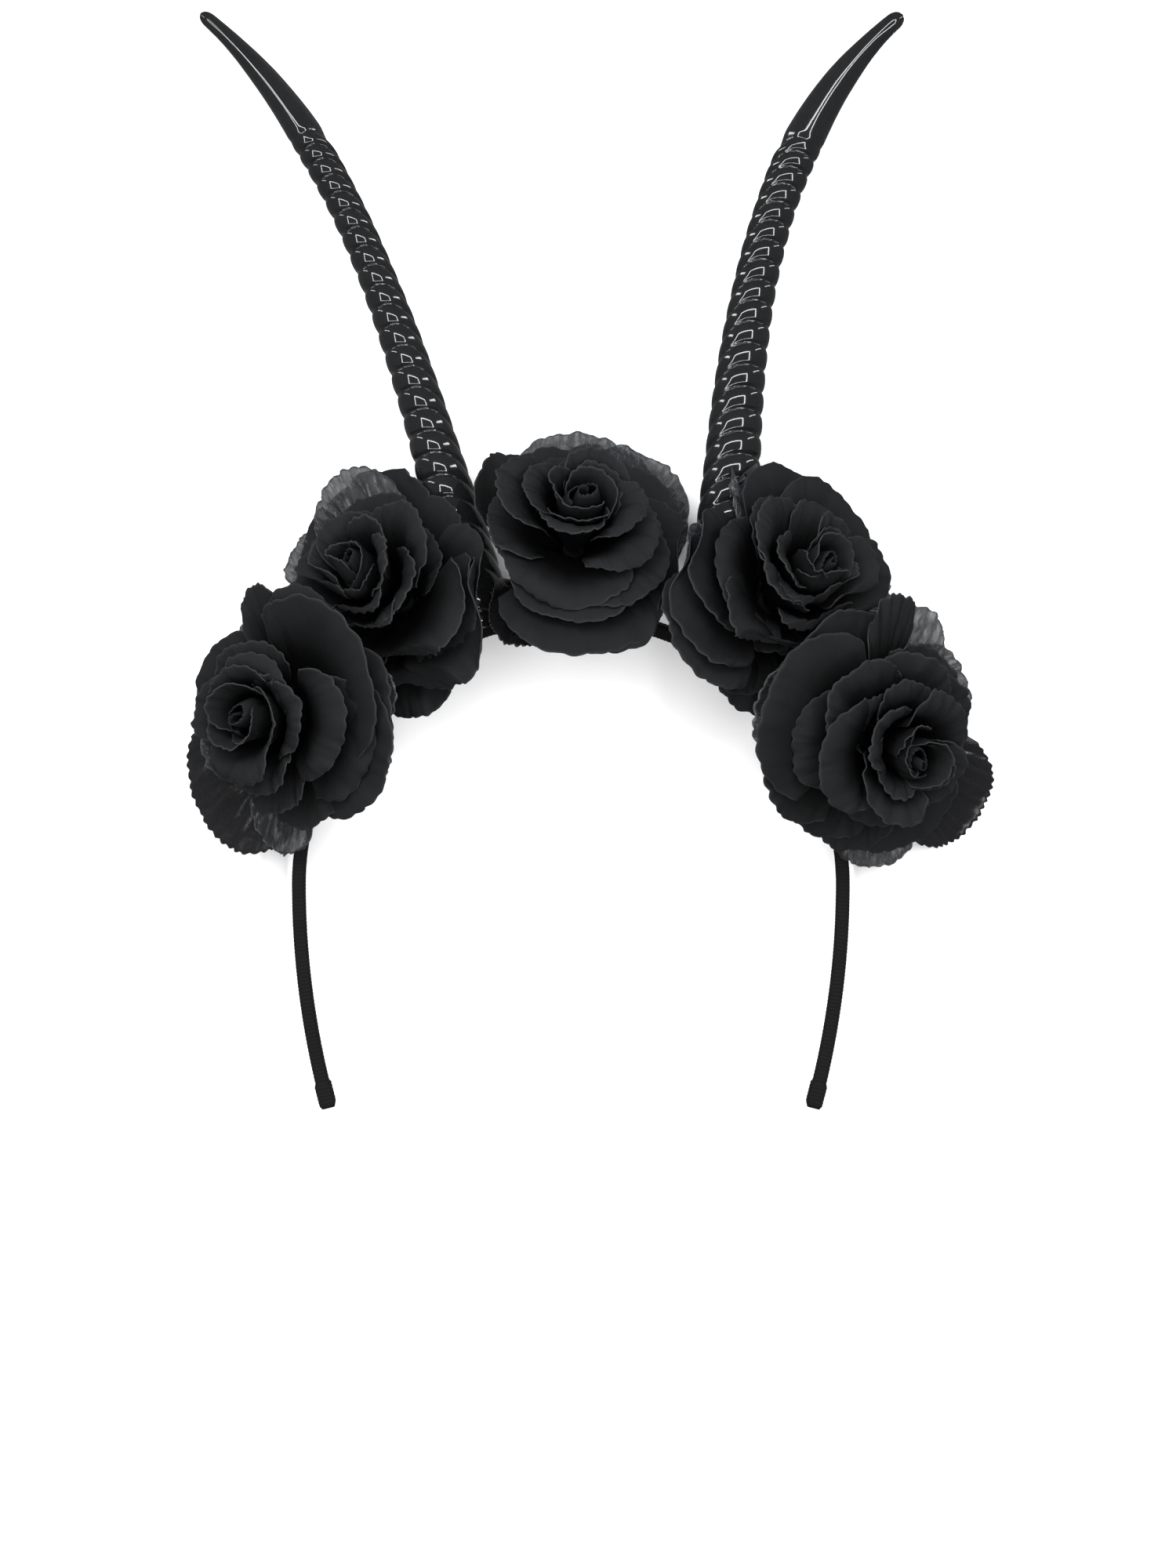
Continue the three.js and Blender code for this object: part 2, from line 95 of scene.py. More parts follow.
# The lights face one point. Each has its name, place, width, height and power in watts, and whether gloss
# mirrors it: large soft ones light the cloth, and four strips over the piece and two low ones beside it
# draw the highlights on the horns.
LIT_POINT = Vector((0.0, 0.0, 0.03))
LIGHTS = (
    ("overhead", (0.2, 0.3, 2.5), 1.5, 1.5, 42, False),
    ("key", (-0.7, 1.5, 1.9), 1.0, 0.8, 46, False),
    ("panel_left", (-1.6, 0.3, 0.7), 1.0, 0.9, 9, False),
    ("panel_right", (1.6, 0.5, 0.9), 1.2, 1.0, 9, False),
    ("strip_left", (-0.5, 0.0, 1.1), 1.0, 0.06, 6, True),
    ("strip_right", (0.5, 0.0, 1.1), 1.0, 0.06, 6, True),
    ("strip_top", (0.0, 0.5, 1.1), 1.0, 0.06, 6, True),
    ("strip_low", (0.0, -0.5, 1.1), 1.0, 0.06, 6, True),
    ("strip_west", (-1.20, 0.72, 0.32), 0.10, 1.1, 7, True),
    ("strip_east", (1.20, 0.72, 0.32), 0.10, 1.1, 7, True),
)

# Rings of petals, from the back. Node is the solid that the ring belongs to. Root and length are shares of
# the rose's radius; rise is the petals' angle from the axis at the root, flare where the lip starts, and
# lip is how far the rim rolls back from there, in degrees like spread; bend is where the lip starts, as a
# share of the length; pin and ruffle are shares of the radius; press keeps the ring off its neighbours, in
# millimetres.
RINGS = table(
    "node petals root length rise flare lip bend spread pin ruffle press",
    ("organza", 5, 0.00, 0.84, 78, 92, 6, 0.70, 40, 0.02, 0.08, 0.2),
    ("outer", 5, 0.04, 0.96, 60, 79, 22, 0.68, 46, 0.05, 0.08, 0.6),
    ("outer", 5, 0.11, 0.90, 44, 64, 42, 0.72, 47, 0.05, 0.08, 1.1),
    ("middle", 5, 0.20, 0.83, 28, 46, 62, 0.72, 50, 0.06, 0.07, 1.7),
    ("middle", 4, 0.29, 0.73, 15, 30, 66, 0.73, 56, 0.07, 0.06, 2.4),
    ("inner", 3, 0.37, 0.62, 12, 17, 34, 0.75, 66, 0.06, 0.05, 3.1),
    ("inner", 2, 0.43, 0.56, 8, 3, 18, 0.80, 100, 0.05, 0.03, 3.8),
)
# The first outer ring also has short petals round the stem, which close it there
CLOSING_RING = 1
CLOSING_PETALS = tuple({"at": at, "length": 0.42, "spread": 62} for at in (45, 135, 225, 315))
# Where the inmost rings start: a compass direction seen from the front, for the rings from SPACED_RING on
SPACED_RING = 3
FIRST = {
    "rose_1": (50, 350, 0, 120),
    "rose_2": (330, 10, 40, 190),
    "rose_3": (215, 250, 160, 60),
    "rose_4": (205, 250, 200, 100),
    "rose_5": (120, 150, 100, 10),
}


def rim_at(x, y, **changes):
    """A petal whose rim's middle lies there from the rose's root, seen from the front, in millimetres."""
    return {"rim": (x, y), **changes}


# The petals of the other rings, one by one. "at" is a compass direction, and what else is given differs
# from the ring. Loose petals aren't pressed aside by their neighbours.
PLACED = {
    ("rose_1", 0): (
        rim_at(-22, 24.5, spread=26), rim_at(-35, 2), rim_at(-11.5, -40.5, spread=24),
        {"at": 30, "length": 0.75}, {"at": 300, "length": 0.75},
    ),
    ("rose_1", 1): (
        rim_at(-16.2, 38.1, spread=17), rim_at(24.5, -1.6), rim_at(22.7, -19.2), rim_at(3, -33),
        rim_at(-33.6, 11.2, flare=72),
    ),
    ("rose_1", 2): (
        rim_at(4.2, 33.4, spread=38), rim_at(18.9, -12.2), rim_at(-9.5, -30.5, spread=38),
        rim_at(-31, -13.3, spread=40), rim_at(15, 19.3, spread=58, lip=12),
    ),
    ("rose_1", 3): (
        rim_at(10.6, -6.5, spread=46), rim_at(-9.6, 8.1, spread=52), rim_at(-28.4, -5.9),
        rim_at(-14.5, -25), rim_at(-22, 20),
    ),
    ("rose_2", 0): (
        rim_at(-23.5, 39.5, spread=26), rim_at(-8, 41.5, spread=20), rim_at(-36.5, 19, spread=20, loose=1),
    ),
    ("rose_2", 1): (
        {"at": 225, "length": 0.7}, rim_at(-21.5, 36), rim_at(-34, 13.5), rim_at(6.3, 33.2, spread=36),
        rim_at(24.5, 8), rim_at(23, -14), rim_at(11, -25.5),
        rim_at(0, -32.5, rise=94, flare=112, lip=5, spread=38, loose=1),
    ),
    ("rose_2", 2): (
        rim_at(7.5, -14.6, spread=50), rim_at(6.6, 20.4, spread=50), rim_at(-15.9, 32, spread=40),
        rim_at(-29, 4, spread=42), rim_at(19.8, -5, spread=40),
    ),
    ("rose_3", 0): (
        rim_at(3.8, 38.8, spread=40), rim_at(23.5, 32), rim_at(33, 18.5), rim_at(-24.5, 8.5, spread=24),
    ),
    ("rose_3", 1): (
        rim_at(-31, 29.5, spread=40, flare=74), rim_at(35, 6), rim_at(29.5, -22, spread=50),
        rim_at(34, -8), rim_at(4, -28, spread=52), rim_at(23.5, 26.6), rim_at(-3, 33.5),
    ),
    ("rose_3", 2): (
        rim_at(0.5, -18, spread=52), rim_at(23.9, -9, spread=46), rim_at(27, 10),
        rim_at(-25.5, 12, spread=46), rim_at(4, 31.5),
    ),
    ("rose_3", 3): (
        rim_at(-6.4, -12.4, spread=56), rim_at(22.5, 0.7, spread=44), rim_at(19.5, 20), rim_at(-22, 24),
        rim_at(8, 30),
    ),
    ("rose_4", 0): (
        rim_at(2.5, 40.8, spread=24), rim_at(38, 13, spread=30), {"at": 150},
    ),
    ("rose_4", 1): (
        {"at": 320, "length": 0.7}, rim_at(19.3, 36.3), rim_at(34, 20.3), rim_at(-26, 1, spread=50),
        rim_at(-25.5, -9, loose=1), rim_at(-11.5, -22.5, rise=90, flare=106, lip=5, loose=1),
        rim_at(-2, -31, rise=94, flare=112, lip=5, loose=1), rim_at(-22.5, 18),
    ),
    ("rose_4", 2): (
        rim_at(-12.6, 11.2, spread=62), rim_at(5.5, 33, spread=42), rim_at(29, 30), rim_at(33, 6),
        rim_at(0, -16),
    ),
    ("rose_5", 0): (
        rim_at(18.6, 37.2, spread=30), rim_at(33.4, 13), rim_at(5.6, -40.6, spread=30),
        rim_at(-9.1, -31.4, spread=30), {"at": 160},
    ),
    ("rose_5", 1): (
        rim_at(10.6, 40.2, spread=14), rim_at(-14.4, 31.2), rim_at(-28.7, -13), rim_at(-17.5, -28.4),
        rim_at(-3, -36, spread=30), rim_at(24.4, 22.6), rim_at(33, 1.5, flare=72),
        rim_at(17.8, -33, spread=50),
    ),
    ("rose_5", 2): (
        rim_at(-27.6, 11, spread=54), rim_at(-3.3, 16.6, spread=48), rim_at(-20.2, -2.6, spread=42),
        rim_at(20, 22), rim_at(8, -28, spread=50), rim_at(30, -8),
    ),
    ("rose_5", 3): (
        rim_at(-12, -11.4, spread=46), rim_at(1, 7.2, spread=50), rim_at(19, -23.5, spread=56),
        rim_at(26, -2), rim_at(17, 14),
    ),
}
LEAVES = table(
    "rose rim length rise flare spread",
    ("rose_1", (-33.5, -31.5), 1.2, 82, 81, 39),
    ("rose_3", (-25.0, -21.0), 0.9, 88, 80, 32),
    ("rose_5", (36.5, -26.0), 1.2, 82, 86, 27),
)
LEAF_ROOT = -0.12


class HeadbandSizes(bpy.types.PropertyGroup):
    """Sizes of the band and the horns."""

    arch_radius: FloatProperty(name="Arch radius", description="Band's centreline over the head",
                               default=81.5 * MM, min=0.02, unit="LENGTH")
    arm_radius: FloatProperty(name="Arm radius", description="Centreline of each arm's inward curve",
                              default=262 * MM, min=0.05, unit="LENGTH")
    arm_drop: FloatProperty(name="Arm drop", description="From the arch's middle to the band's ends",
                            default=67 * MM, min=0.01, unit="LENGTH")
    band_width: FloatProperty(name="Band width", description="Front edge to back edge",
                              default=9 * MM, min=0.002, unit="LENGTH")
    band_thickness: FloatProperty(name="Band thickness", description="Inner face to outer face",
                                  default=4.2 * MM, min=0.001, unit="LENGTH")
    rib_pitch: FloatProperty(name="Ribbon rib pitch", description="From one woven rib to the next",
                             default=1.15 * MM, min=0.0004, unit="LENGTH")
    hem_length: FloatProperty(name="Hem length", description="Ribbon folded over at each end",
                              default=7 * MM, min=0.001, unit="LENGTH")
    horn_length: FloatProperty(name="Horn length", description="Along the horn's centreline",
                               default=205.5 * MM, min=0.05, unit="LENGTH")
    horn_base: FloatProperty(name="Horn base", description="Half of the wide way across at the band",
                             default=11 * MM, min=0.003, unit="LENGTH")
    horn_tip: FloatProperty(name="Horn tip", description="Half of the wide way across at the tip",
                            default=2.5 * MM, min=0.0005, unit="LENGTH")
    horn_oval: FloatProperty(name="Horn oval", description="Narrow way across, as a share of the wide way",
                             default=0.8, min=0.3, max=1, subtype="FACTOR")
    horn_ribs: IntProperty(name="Horn ribs", description="Ribs on each horn", default=24, min=1, max=60)
    rib_height: FloatProperty(name="Rib height", description="How far a rib stands out on the outer front",
                              default=1.5 * MM, min=0, unit="LENGTH")


class RoseLook(bpy.types.PropertyGroup):
    """Sizes and colours of the roses."""

    radius: FloatProperty(name="Rose radius", description="Rim of the outer petals",
                          default=37 * MM, min=0.01, unit="LENGTH")
    wall: FloatProperty(name="Cloth thickness", description="Thickness of a petal",
                        default=0.35 * MM, min=0.0001, unit="LENGTH")
    scallop: FloatProperty(name="Scallop depth", description="How deep the rim's scallops are",
                           default=0.7 * MM, min=0, unit="LENGTH")
    seed: IntProperty(name="Seed", description="Picks how the petals vary", default=4, min=0)
    cloth: FloatVectorProperty(name="Cloth", description="Colour of the matte petals",
                               default=(0.0074, 0.0079, 0.0084), subtype="COLOR", size=3, min=0, max=1)
    sheer: FloatVectorProperty(name="Sheer", description="Colour of the sheer petals",
                               default=(0.021, 0.022, 0.024), subtype="COLOR", size=3, min=0, max=1)
    satin: FloatVectorProperty(name="Satin", description="Colour of the satin leaves",
                               default=(0.0055, 0.0056, 0.0065), subtype="COLOR", size=3, min=0, max=1)


class Value:
    """An output socket that Python's operators work on: each one adds its Math node."""

    def __init__(self, builder, socket):
        self.builder = builder
        self.socket = socket

    def math(self, operation, *values):
        return self.builder.math(operation, self, *values)

    def __add__(self, other):
        return self.math("ADD", other)

    def __sub__(self, other):
        return self.math("SUBTRACT", other)

    def __mul__(self, other):
        return self.math("MULTIPLY", other)

    def __truediv__(self, other):
        return self.math("DIVIDE", other)

    def __pow__(self, other):
        return self.math("POWER", other)

    def __radd__(self, other):
        return self.builder.math("ADD", other, self)

    def __rsub__(self, other):
        return self.builder.math("SUBTRACT", other, self)

    def __rmul__(self, other):
        return self.builder.math("MULTIPLY", other, self)

    def __rtruediv__(self, other):
        return self.builder.math("DIVIDE", other, self)

    def __neg__(self):
        return self.math("MULTIPLY", -1.0)

    def __abs__(self):
        return self.math("ABSOLUTE")

    def at_least(self, low):
        return self.math("MAXIMUM", low)

    def at_most(self, high):
        return self.math("MINIMUM", high)

    def out(self, name):
        return Value(self.builder, self.socket.node.outputs[name])


class Builder:
    """Adds nodes to one tree."""

    def __init__(self, tree):
        self.tree = tree
        self.column = 0

    def add(self, kind, settings=None, sockets=None):
        node = self.tree.nodes.new(kind)
        node.location = (self.column * 40, -(self.column % 12) * 140)
        self.column += 1
        for name, value in (settings or {}).items():
            setattr(node, name, value)
        for key, value in (sockets or {}).items():
            target = node.inputs[key]
            if isinstance(value, Value):
                self.tree.links.new(value.socket, target)
            else:
                target.default_value = value
        outputs = [socket for socket in node.outputs if socket.enabled]
        return Value(self, outputs[0]) if outputs else node

    def math(self, operation, *values):
        return self.add("ShaderNodeMath", {"operation": operation}, dict(enumerate(values)))

    def smooth(self, value, low, high):
        """0 under low and 1 over high, eased between them."""
        return self.add("ShaderNodeMapRange", {"interpolation_type": "SMOOTHSTEP"},
                        {"Value": value, "From Min": low, "From Max": high})

    def vector(self, x=0.0, y=0.0, z=0.0):
        return self.add("ShaderNodeCombineXYZ", None, {0: x, 1: y, 2: z})

    def parts(self, vector):
        split = self.add("ShaderNodeSeparateXYZ", None, {0: vector})
        return split, split.out("Y"), split.out("Z")

    def vmath(self, operation, *values):
        return self.add("ShaderNodeVectorMath", {"operation": operation}, dict(enumerate(values)))

    def scale(self, vector, factor):
        return self.add("ShaderNodeVectorMath", {"operation": "SCALE"}, {0: vector, "Scale": factor})

    def noise(self, vector, scale, detail=2.0, w=None, roughness=0.5):
        sockets = {"Vector": vector, "Scale": scale, "Detail": detail, "Roughness": roughness}
        if w is not None:
            sockets["W"] = w
        return self.add("ShaderNodeTexNoise", {"noise_dimensions": "3D" if w is None else "4D"}, sockets)


class Finish(Builder):
    """A material's nodes."""

    def __init__(self, name):
        self.material = bpy.data.materials.new(name)
        self.material.use_nodes = True
        self.material.node_tree.nodes.clear()
        super().__init__(self.material.node_tree)

    def attribute(self, name, output="Fac"):
        return self.add("ShaderNodeAttribute", {"attribute_name": name}).out(output)

    def place(self):
        return self.add("ShaderNodeTexCoord").out("Object")

    def clamp(self, value):
        return self.add("ShaderNodeClamp", None, {"Value": value})

    def bump(self, strength, distance, height):
        return self.add("ShaderNodeBump", None,
                        {"Strength": strength, "Distance": distance, "Height": height})

    def end(self, sockets):
        """Closes the tree with a Principled surface and gives its material."""
        surface = self.add("ShaderNodeBsdfPrincipled", None, sockets)
        self.add("ShaderNodeOutputMaterial", None, {"Surface": surface})
        return self.material


class Shape(Builder):
    """A Geometry Nodes tree with named inputs, which becomes the mesh of one piece."""

    def __init__(self, name):
        super().__init__(bpy.data.node_groups.new(name, "GeometryNodeTree"))
        self.sockets = {}
        self.tree.interface.new_socket("Geometry", in_out="INPUT", socket_type="NodeSocketGeometry")
        self.tree.interface.new_socket("Geometry", in_out="OUTPUT", socket_type="NodeSocketGeometry")
        self.entry = self.tree.nodes.new("NodeGroupInput")

    def input(self, name, kind="Float"):
        socket = self.tree.interface.new_socket(name, in_out="INPUT", socket_type=f"NodeSocket{kind}")
        self.sockets[name] = socket.identifier
        return Value(self, self.entry.outputs[name])

    def store(self, geometry, name, value, kind="FLOAT"):
        return self.add("GeometryNodeStoreNamedAttribute", {"data_type": kind, "domain": "POINT"},
                        {"Geometry": geometry, "Name": name, "Value": value})

    def named(self, name):
        return self.add("GeometryNodeInputNamedAttribute", {"data_type": "FLOAT"}, {"Name": name})

    def tube(self, around, stations, caps):
        """A closed cylinder of radius 1 whose z runs from -1 to 1."""
        return self.add("GeometryNodeMeshCylinder", {"fill_type": "TRIANGLE_FAN"}, {
            "Vertices": around, "Side Segments": stations, "Fill Segments": caps, "Radius": 1.0,
            "Depth": 2.0})

    def end(self, geometry):
        """Realizes instances, sets the finish and closes the tree."""
        material = self.input("Finish", "Material")
        real = self.add("GeometryNodeRealizeInstances", None, {"Geometry": geometry})
        done = self.add("GeometryNodeSetMaterial", None, {"Geometry": real, "Material": material})
        leave = self.tree.nodes.new("NodeGroupOutput")
        self.tree.links.new(done.socket, leave.inputs[0])
        return self

    def make(self, name, finish, source=None, **sizes):
        """A plain mesh object from this tree with these sizes."""
        data = source or bpy.data.meshes.new(name)
        carrier = bpy.data.objects.new(name + "_rule", data)
        bpy.context.scene.collection.objects.link(carrier)
        modifier = carrier.modifiers.new("Rule", "NODES")
        modifier.node_group = self.tree
        modifier[self.sockets["Finish"]] = finish
        for key, value in sizes.items():
            modifier[self.sockets[key.replace("_", " ").capitalize()]] = value
        seen = carrier.evaluated_get(bpy.context.evaluated_depsgraph_get())
        mesh = bpy.data.meshes.new_from_object(seen)
        carrier.modifiers.remove(modifier)
        bpy.data.objects.remove(carrier)
        mesh.name = name
        made = bpy.data.objects.new(name, mesh)
        bpy.context.scene.collection.objects.link(made)
        return made


def points_of(obj):
    """The places of a mesh's points, one a row."""
    points = np.empty(len(obj.data.vertices) * 3)
    obj.data.vertices.foreach_get("co", points)
    return points.reshape(-1, 3)


def put_points(obj, points):
    obj.data.vertices.foreach_set("co", points.ravel())
    obj.data.update()


def polar(radius, degrees, z=0.0):
    turn = math.radians(degrees)
    return Vector((radius * math.cos(turn), radius * math.sin(turn), z))


def lean(point, sizes):
    """Takes a point of the band's own flat plane to where the leaning band holds it."""
    lift = sizes.band_width / 2 * math.cos(BAND_LEAN) + sizes.arm_drop * math.sin(BAND_LEAN)
    return Matrix.Rotation(BAND_LEAN, 3, "X") @ Vector(point) + Vector((0, 0, lift)) + ARCH_MIDDLE


def band_face(degrees, sizes):
    """The middle of the band's outer face at an angle round the arch."""
    return lean(polar(sizes.arch_radius + sizes.band_thickness / 2, degrees), sizes)


def horn_line(horn, sizes):
    """The horn's centreline, with the way to its front at each point."""
    start = band_face(horn["seat"], sizes)
    roll = math.radians(horn["roll"])
    end = ARCH_MIDDLE.z + sizes.horn_tip * math.hypot(math.sin(roll), sizes.horn_oval * math.cos(roll))
    step = sizes.horn_length / LINE_STEPS
    points = []
    x, y = start.x, start.y
    for i in range(LINE_STEPS + 1):
        share = i / LINE_STEPS
        aside = horn["aside"] * MM * (1 - share) ** 4
        points.append(Vector((x + aside, y, end + (start.z - end) * (1 - share) ** HORN_SAG_POWER)))
        angle = math.radians(horn["splay"] + horn["bend"] * (share + 0.5 / LINE_STEPS) ** HORN_BEND_POWER)
        x += horn["side"] * step * math.sin(angle)
        y += step * math.cos(angle)
    back = (points[0] - points[1]).normalized() * HORN_SUNK * sizes.horn_length
    return [points[0] + back] + points


def cloth_finish(name, tint, roughness, crinkle, rim_light=1.0, specular=0.3, sheen=0.0, weave=0.45 * MM,
                 alpha=None):
    """Woven cloth on the petals' own cut pattern, with creased bumps, a painted highlight along the rims,
    painted shade towards the petals' feet and, on sheer cloth, painted highlights along the creases.
    """
    nodes = Finish(name)
    pattern = nodes.attribute("cut", "Vector")
    rim = nodes.attribute("rim")
    across, along, _ = nodes.parts(pattern)
    warp = (across * (math.tau / weave)).math("SINE")
    weft = (along * (math.tau / weave)).math("SINE")
    threads = warp * weft * 0.5 + 0.5
    cloudy = nodes.noise(pattern, 60.0, 3.0)
    fine = nodes.noise(pattern, 900.0, 3.0)
    creased = nodes.noise(nodes.vmath("MULTIPLY", pattern, (1.0, 0.3, 1.0)), 600.0, 5.0, roughness=0.65)
    shade = 0.84 + 0.34 * cloudy + 0.04 * threads + 0.22 * fine - 0.12
    # Painted highlight: the cloth is paler along its rims, where light catches the cut edge, broken up by
    # fine noise
    edge = rim ** 5.0 * (0.5 + 1.0 * fine)
    # Painted shade: the petals darken towards their feet, where little light reaches
    deep = nodes.smooth(nodes.attribute("along"), 0.40, 1.05)
    level = (shade + edge * rim_light) * (0.06 + 0.98 * deep)
    base = nodes.scale(tint, level)
    bump = nodes.bump(0.35, 0.0003, threads * 0.15 + fine * 0.4 + creased * crinkle)
    sockets = {
        "Base Color": base, "Roughness": nodes.clamp(roughness - 0.12 * threads + 0.12 * (fine - 0.5)),
        "Normal": bump, "Specular IOR Level": specular, "Sheen Weight": sheen, "Sheen Roughness": 0.45,
        "Sheen Tint": (0.75, 0.85, 1.0, 1.0),
    }
    if alpha is not None:
        dense = alpha + 1.1 * (creased - 0.5) + 0.10 * (threads - 0.5) + edge * 0.35
        sockets["Alpha"] = nodes.clamp(dense)
        # Painted highlight: the sheer cloth is brighter along its creases
        sockets["Base Color"] = nodes.scale(base, 0.5 + 3.0 * nodes.smooth(creased, 0.52, 0.75))
    return nodes.end(sockets)


def ribbon_finish():
    """Black ribbed ribbon: fine threads run along it, over the ribs that its mesh has."""
    nodes = Finish("ribbed_ribbon")
    pattern = nodes.attribute("cut", "Vector")
    groove = nodes.attribute("rim")
    across, _, _ = nodes.parts(pattern)
    threads = (across * (math.tau / 0.0004)).math("SINE") * 0.5 + 0.5
    fine = nodes.noise(pattern, 1500.0, 3.0)
    cloudy = nodes.noise(pattern, 70.0, 2.0)
    # Painted shade: the ribbon is darker in the grooves between its ribs
    level = 0.7 + 0.3 * threads + 0.5 * fine + 0.3 * cloudy - 0.45 * groove
    return nodes.end({
        "Base Color": nodes.scale((0.0040, 0.0037, 0.0038), level),
        "Roughness": nodes.clamp(0.68 + 0.2 * (fine - 0.5) + 0.15 * groove),
        "Normal": nodes.bump(0.4, 0.0002, threads * 0.6 + fine), "Specular IOR Level": 0.08})


def horn_finish():
    """Glossy black plastic with faint moulding waves, fine scratches and dust in the grooves."""
    nodes = Finish("glossy_plastic")
    place = nodes.place()
    groove = nodes.attribute("rim")
    waves = nodes.noise(place, 180.0, 2.0)
    smears = nodes.noise(nodes.vmath("MULTIPLY", place, (1.0, 0.25, 1.0)), 300.0, 4.0, roughness=0.65)
    specks = nodes.noise(place, 2600.0, 2.0)
    dust = nodes.smooth(specks, 0.62, 0.75) * (0.25 + 0.75 * groove)
    rough = 0.075 + 0.05 * nodes.smooth(smears, 0.5, 0.8) + 0.15 * dust + 0.12 * groove
    return nodes.end({
        "Base Color": nodes.scale((0.0058, 0.0062, 0.0066), 0.75 + 0.5 * waves + 1.2 * dust),
        "Roughness": nodes.clamp(rough), "Normal": nodes.bump(0.05, 0.0004, waves + smears * 0.1),
        "Specular IOR Level": 0.4, "IOR": 1.5})


def stem_finish():
    """Matte tape wound round each stem, with a few threads of dried glue."""
    nodes = Finish("stem_tape")
    place = nodes.place()
    _, _, height = nodes.parts(place)
    wound = (height * (math.tau / 0.003) + 3.0 * nodes.noise(place, 90.0, 2.0)).math("SINE") * 0.5 + 0.5
    fibres = nodes.noise(place, 900.0, 3.0)
    return nodes.end({
        "Base Color": nodes.scale((0.004, 0.0042, 0.0044), 0.6 + 0.5 * wound + 0.5 * fibres),
        "Roughness": nodes.clamp(0.7 + 0.25 * (fibres - 0.5)),
        "Normal": nodes.bump(0.5, 0.0005, wound + fibres * 0.4), "Specular IOR Level": 0.05})


def paper_finish():
    """Pale paper for the floor."""
    nodes = Finish("pale_paper")
    grain = nodes.noise(nodes.place(), 40.0, 2.0)
    return nodes.end({
        "Base Color": nodes.scale((0.86, 0.86, 0.865), 0.99 + 0.02 * grain), "Roughness": 0.9,
        "Specular IOR Level": 0.1})


def band_shape():
    """A ribbed ribbon tube along the arch and both arms, from a closed cylinder's own coordinates."""
    shape = Shape("Ribbed band")
    arch, arm, drop = shape.input("Arch radius"), shape.input("Arm radius"), shape.input("Arm drop")
    width, thick = shape.input("Width"), shape.input("Thickness")
    pitch, hem, leaning = shape.input("Rib pitch"), shape.input("Hem length"), shape.input("Lean")
    middle = shape.input("Arch middle", "Vector")
    stations = shape.input("Stations", "Int")
    tube = shape.tube(28, stations, 2)
    x, y, z = shape.parts(shape.add("GeometryNodeInputPosition"))
    quarter = arch * (math.pi / 2)
    tail = arm * (drop / arm).math("ARCSINE")
    run = z * (quarter + tail)
    on_arch = run.at_most(quarter).at_least(-quarter)
    on_arm = (abs(run) - quarter).at_least(0.0)
    side = run.math("SIGN")
    bend = on_arch / arch
    more = on_arm / arm
    path_x = arch * bend.math("SINE") - side * arm * (1.0 - more.math("COSINE"))
    path_y = arch * bend.math("COSINE") - arm * more.math("SINE")
    outward = bend + side * more
    # A rounded oblong from the circle's own direction
    size = (x * x + y * y).math("SQRT").at_least(0.0001)
    square = 0.30
    cosine, sine = x / size, y / size
    out = cosine.math("SIGN") * abs(cosine) ** square * size
    front = sine.math("SIGN") * abs(sine) ** (square * 0.8) * size
    end = quarter + tail - abs(run)
    folded = 1.0 - shape.smooth(end, hem - 0.0004, hem + 0.0007)
    tucked = shape.smooth(end, 0.0, 0.0012) * 0.2 + 0.8
    rib = abs((run * (math.pi / pitch)).math("SINE")) ** 0.6
    wobble = (shape.noise(shape.vector(run, 0.0, 0.0), 22.0, 1.0) - 0.5) * 0.0004
    relief = (rib - 1.0) * 0.00022 + folded * 0.00045
    half = thick / 2.0 * tucked + relief
    across = width / 2.0 * (tucked * 0.5 + 0.5) + relief * 0.6 + wobble
    reach = out * half
    flat_x = path_x + reach * outward.math("SINE")
    flat_y = path_y + reach * outward.math("COSINE")
    flat_z = front * across
    cosine, sine = leaning.math("COSINE"), leaning.math("SINE")
    lift = width / 2.0 * cosine + drop * sine
    place = shape.vmath("ADD", middle, shape.vector(flat_x, flat_y * cosine - flat_z * sine,
                                                    flat_y * sine + flat_z * cosine + lift))
    # The grooves between the ribs, which the ribbon's finish darkens with painted shade and roughens
    kept = shape.store(tube, "rim", 1.0 - rib)
    kept = shape.store(kept, "cut", shape.vector(out * half + front * across, run, 0.0), "FLOAT_VECTOR")
    moved = shape.add("GeometryNodeSetPosition", None, {"Geometry": kept, "Position": place})
    smooth = shape.add("GeometryNodeSetShadeSmooth", None, {"Geometry": moved, "Shade Smooth": True})
    return shape.end(smooth)


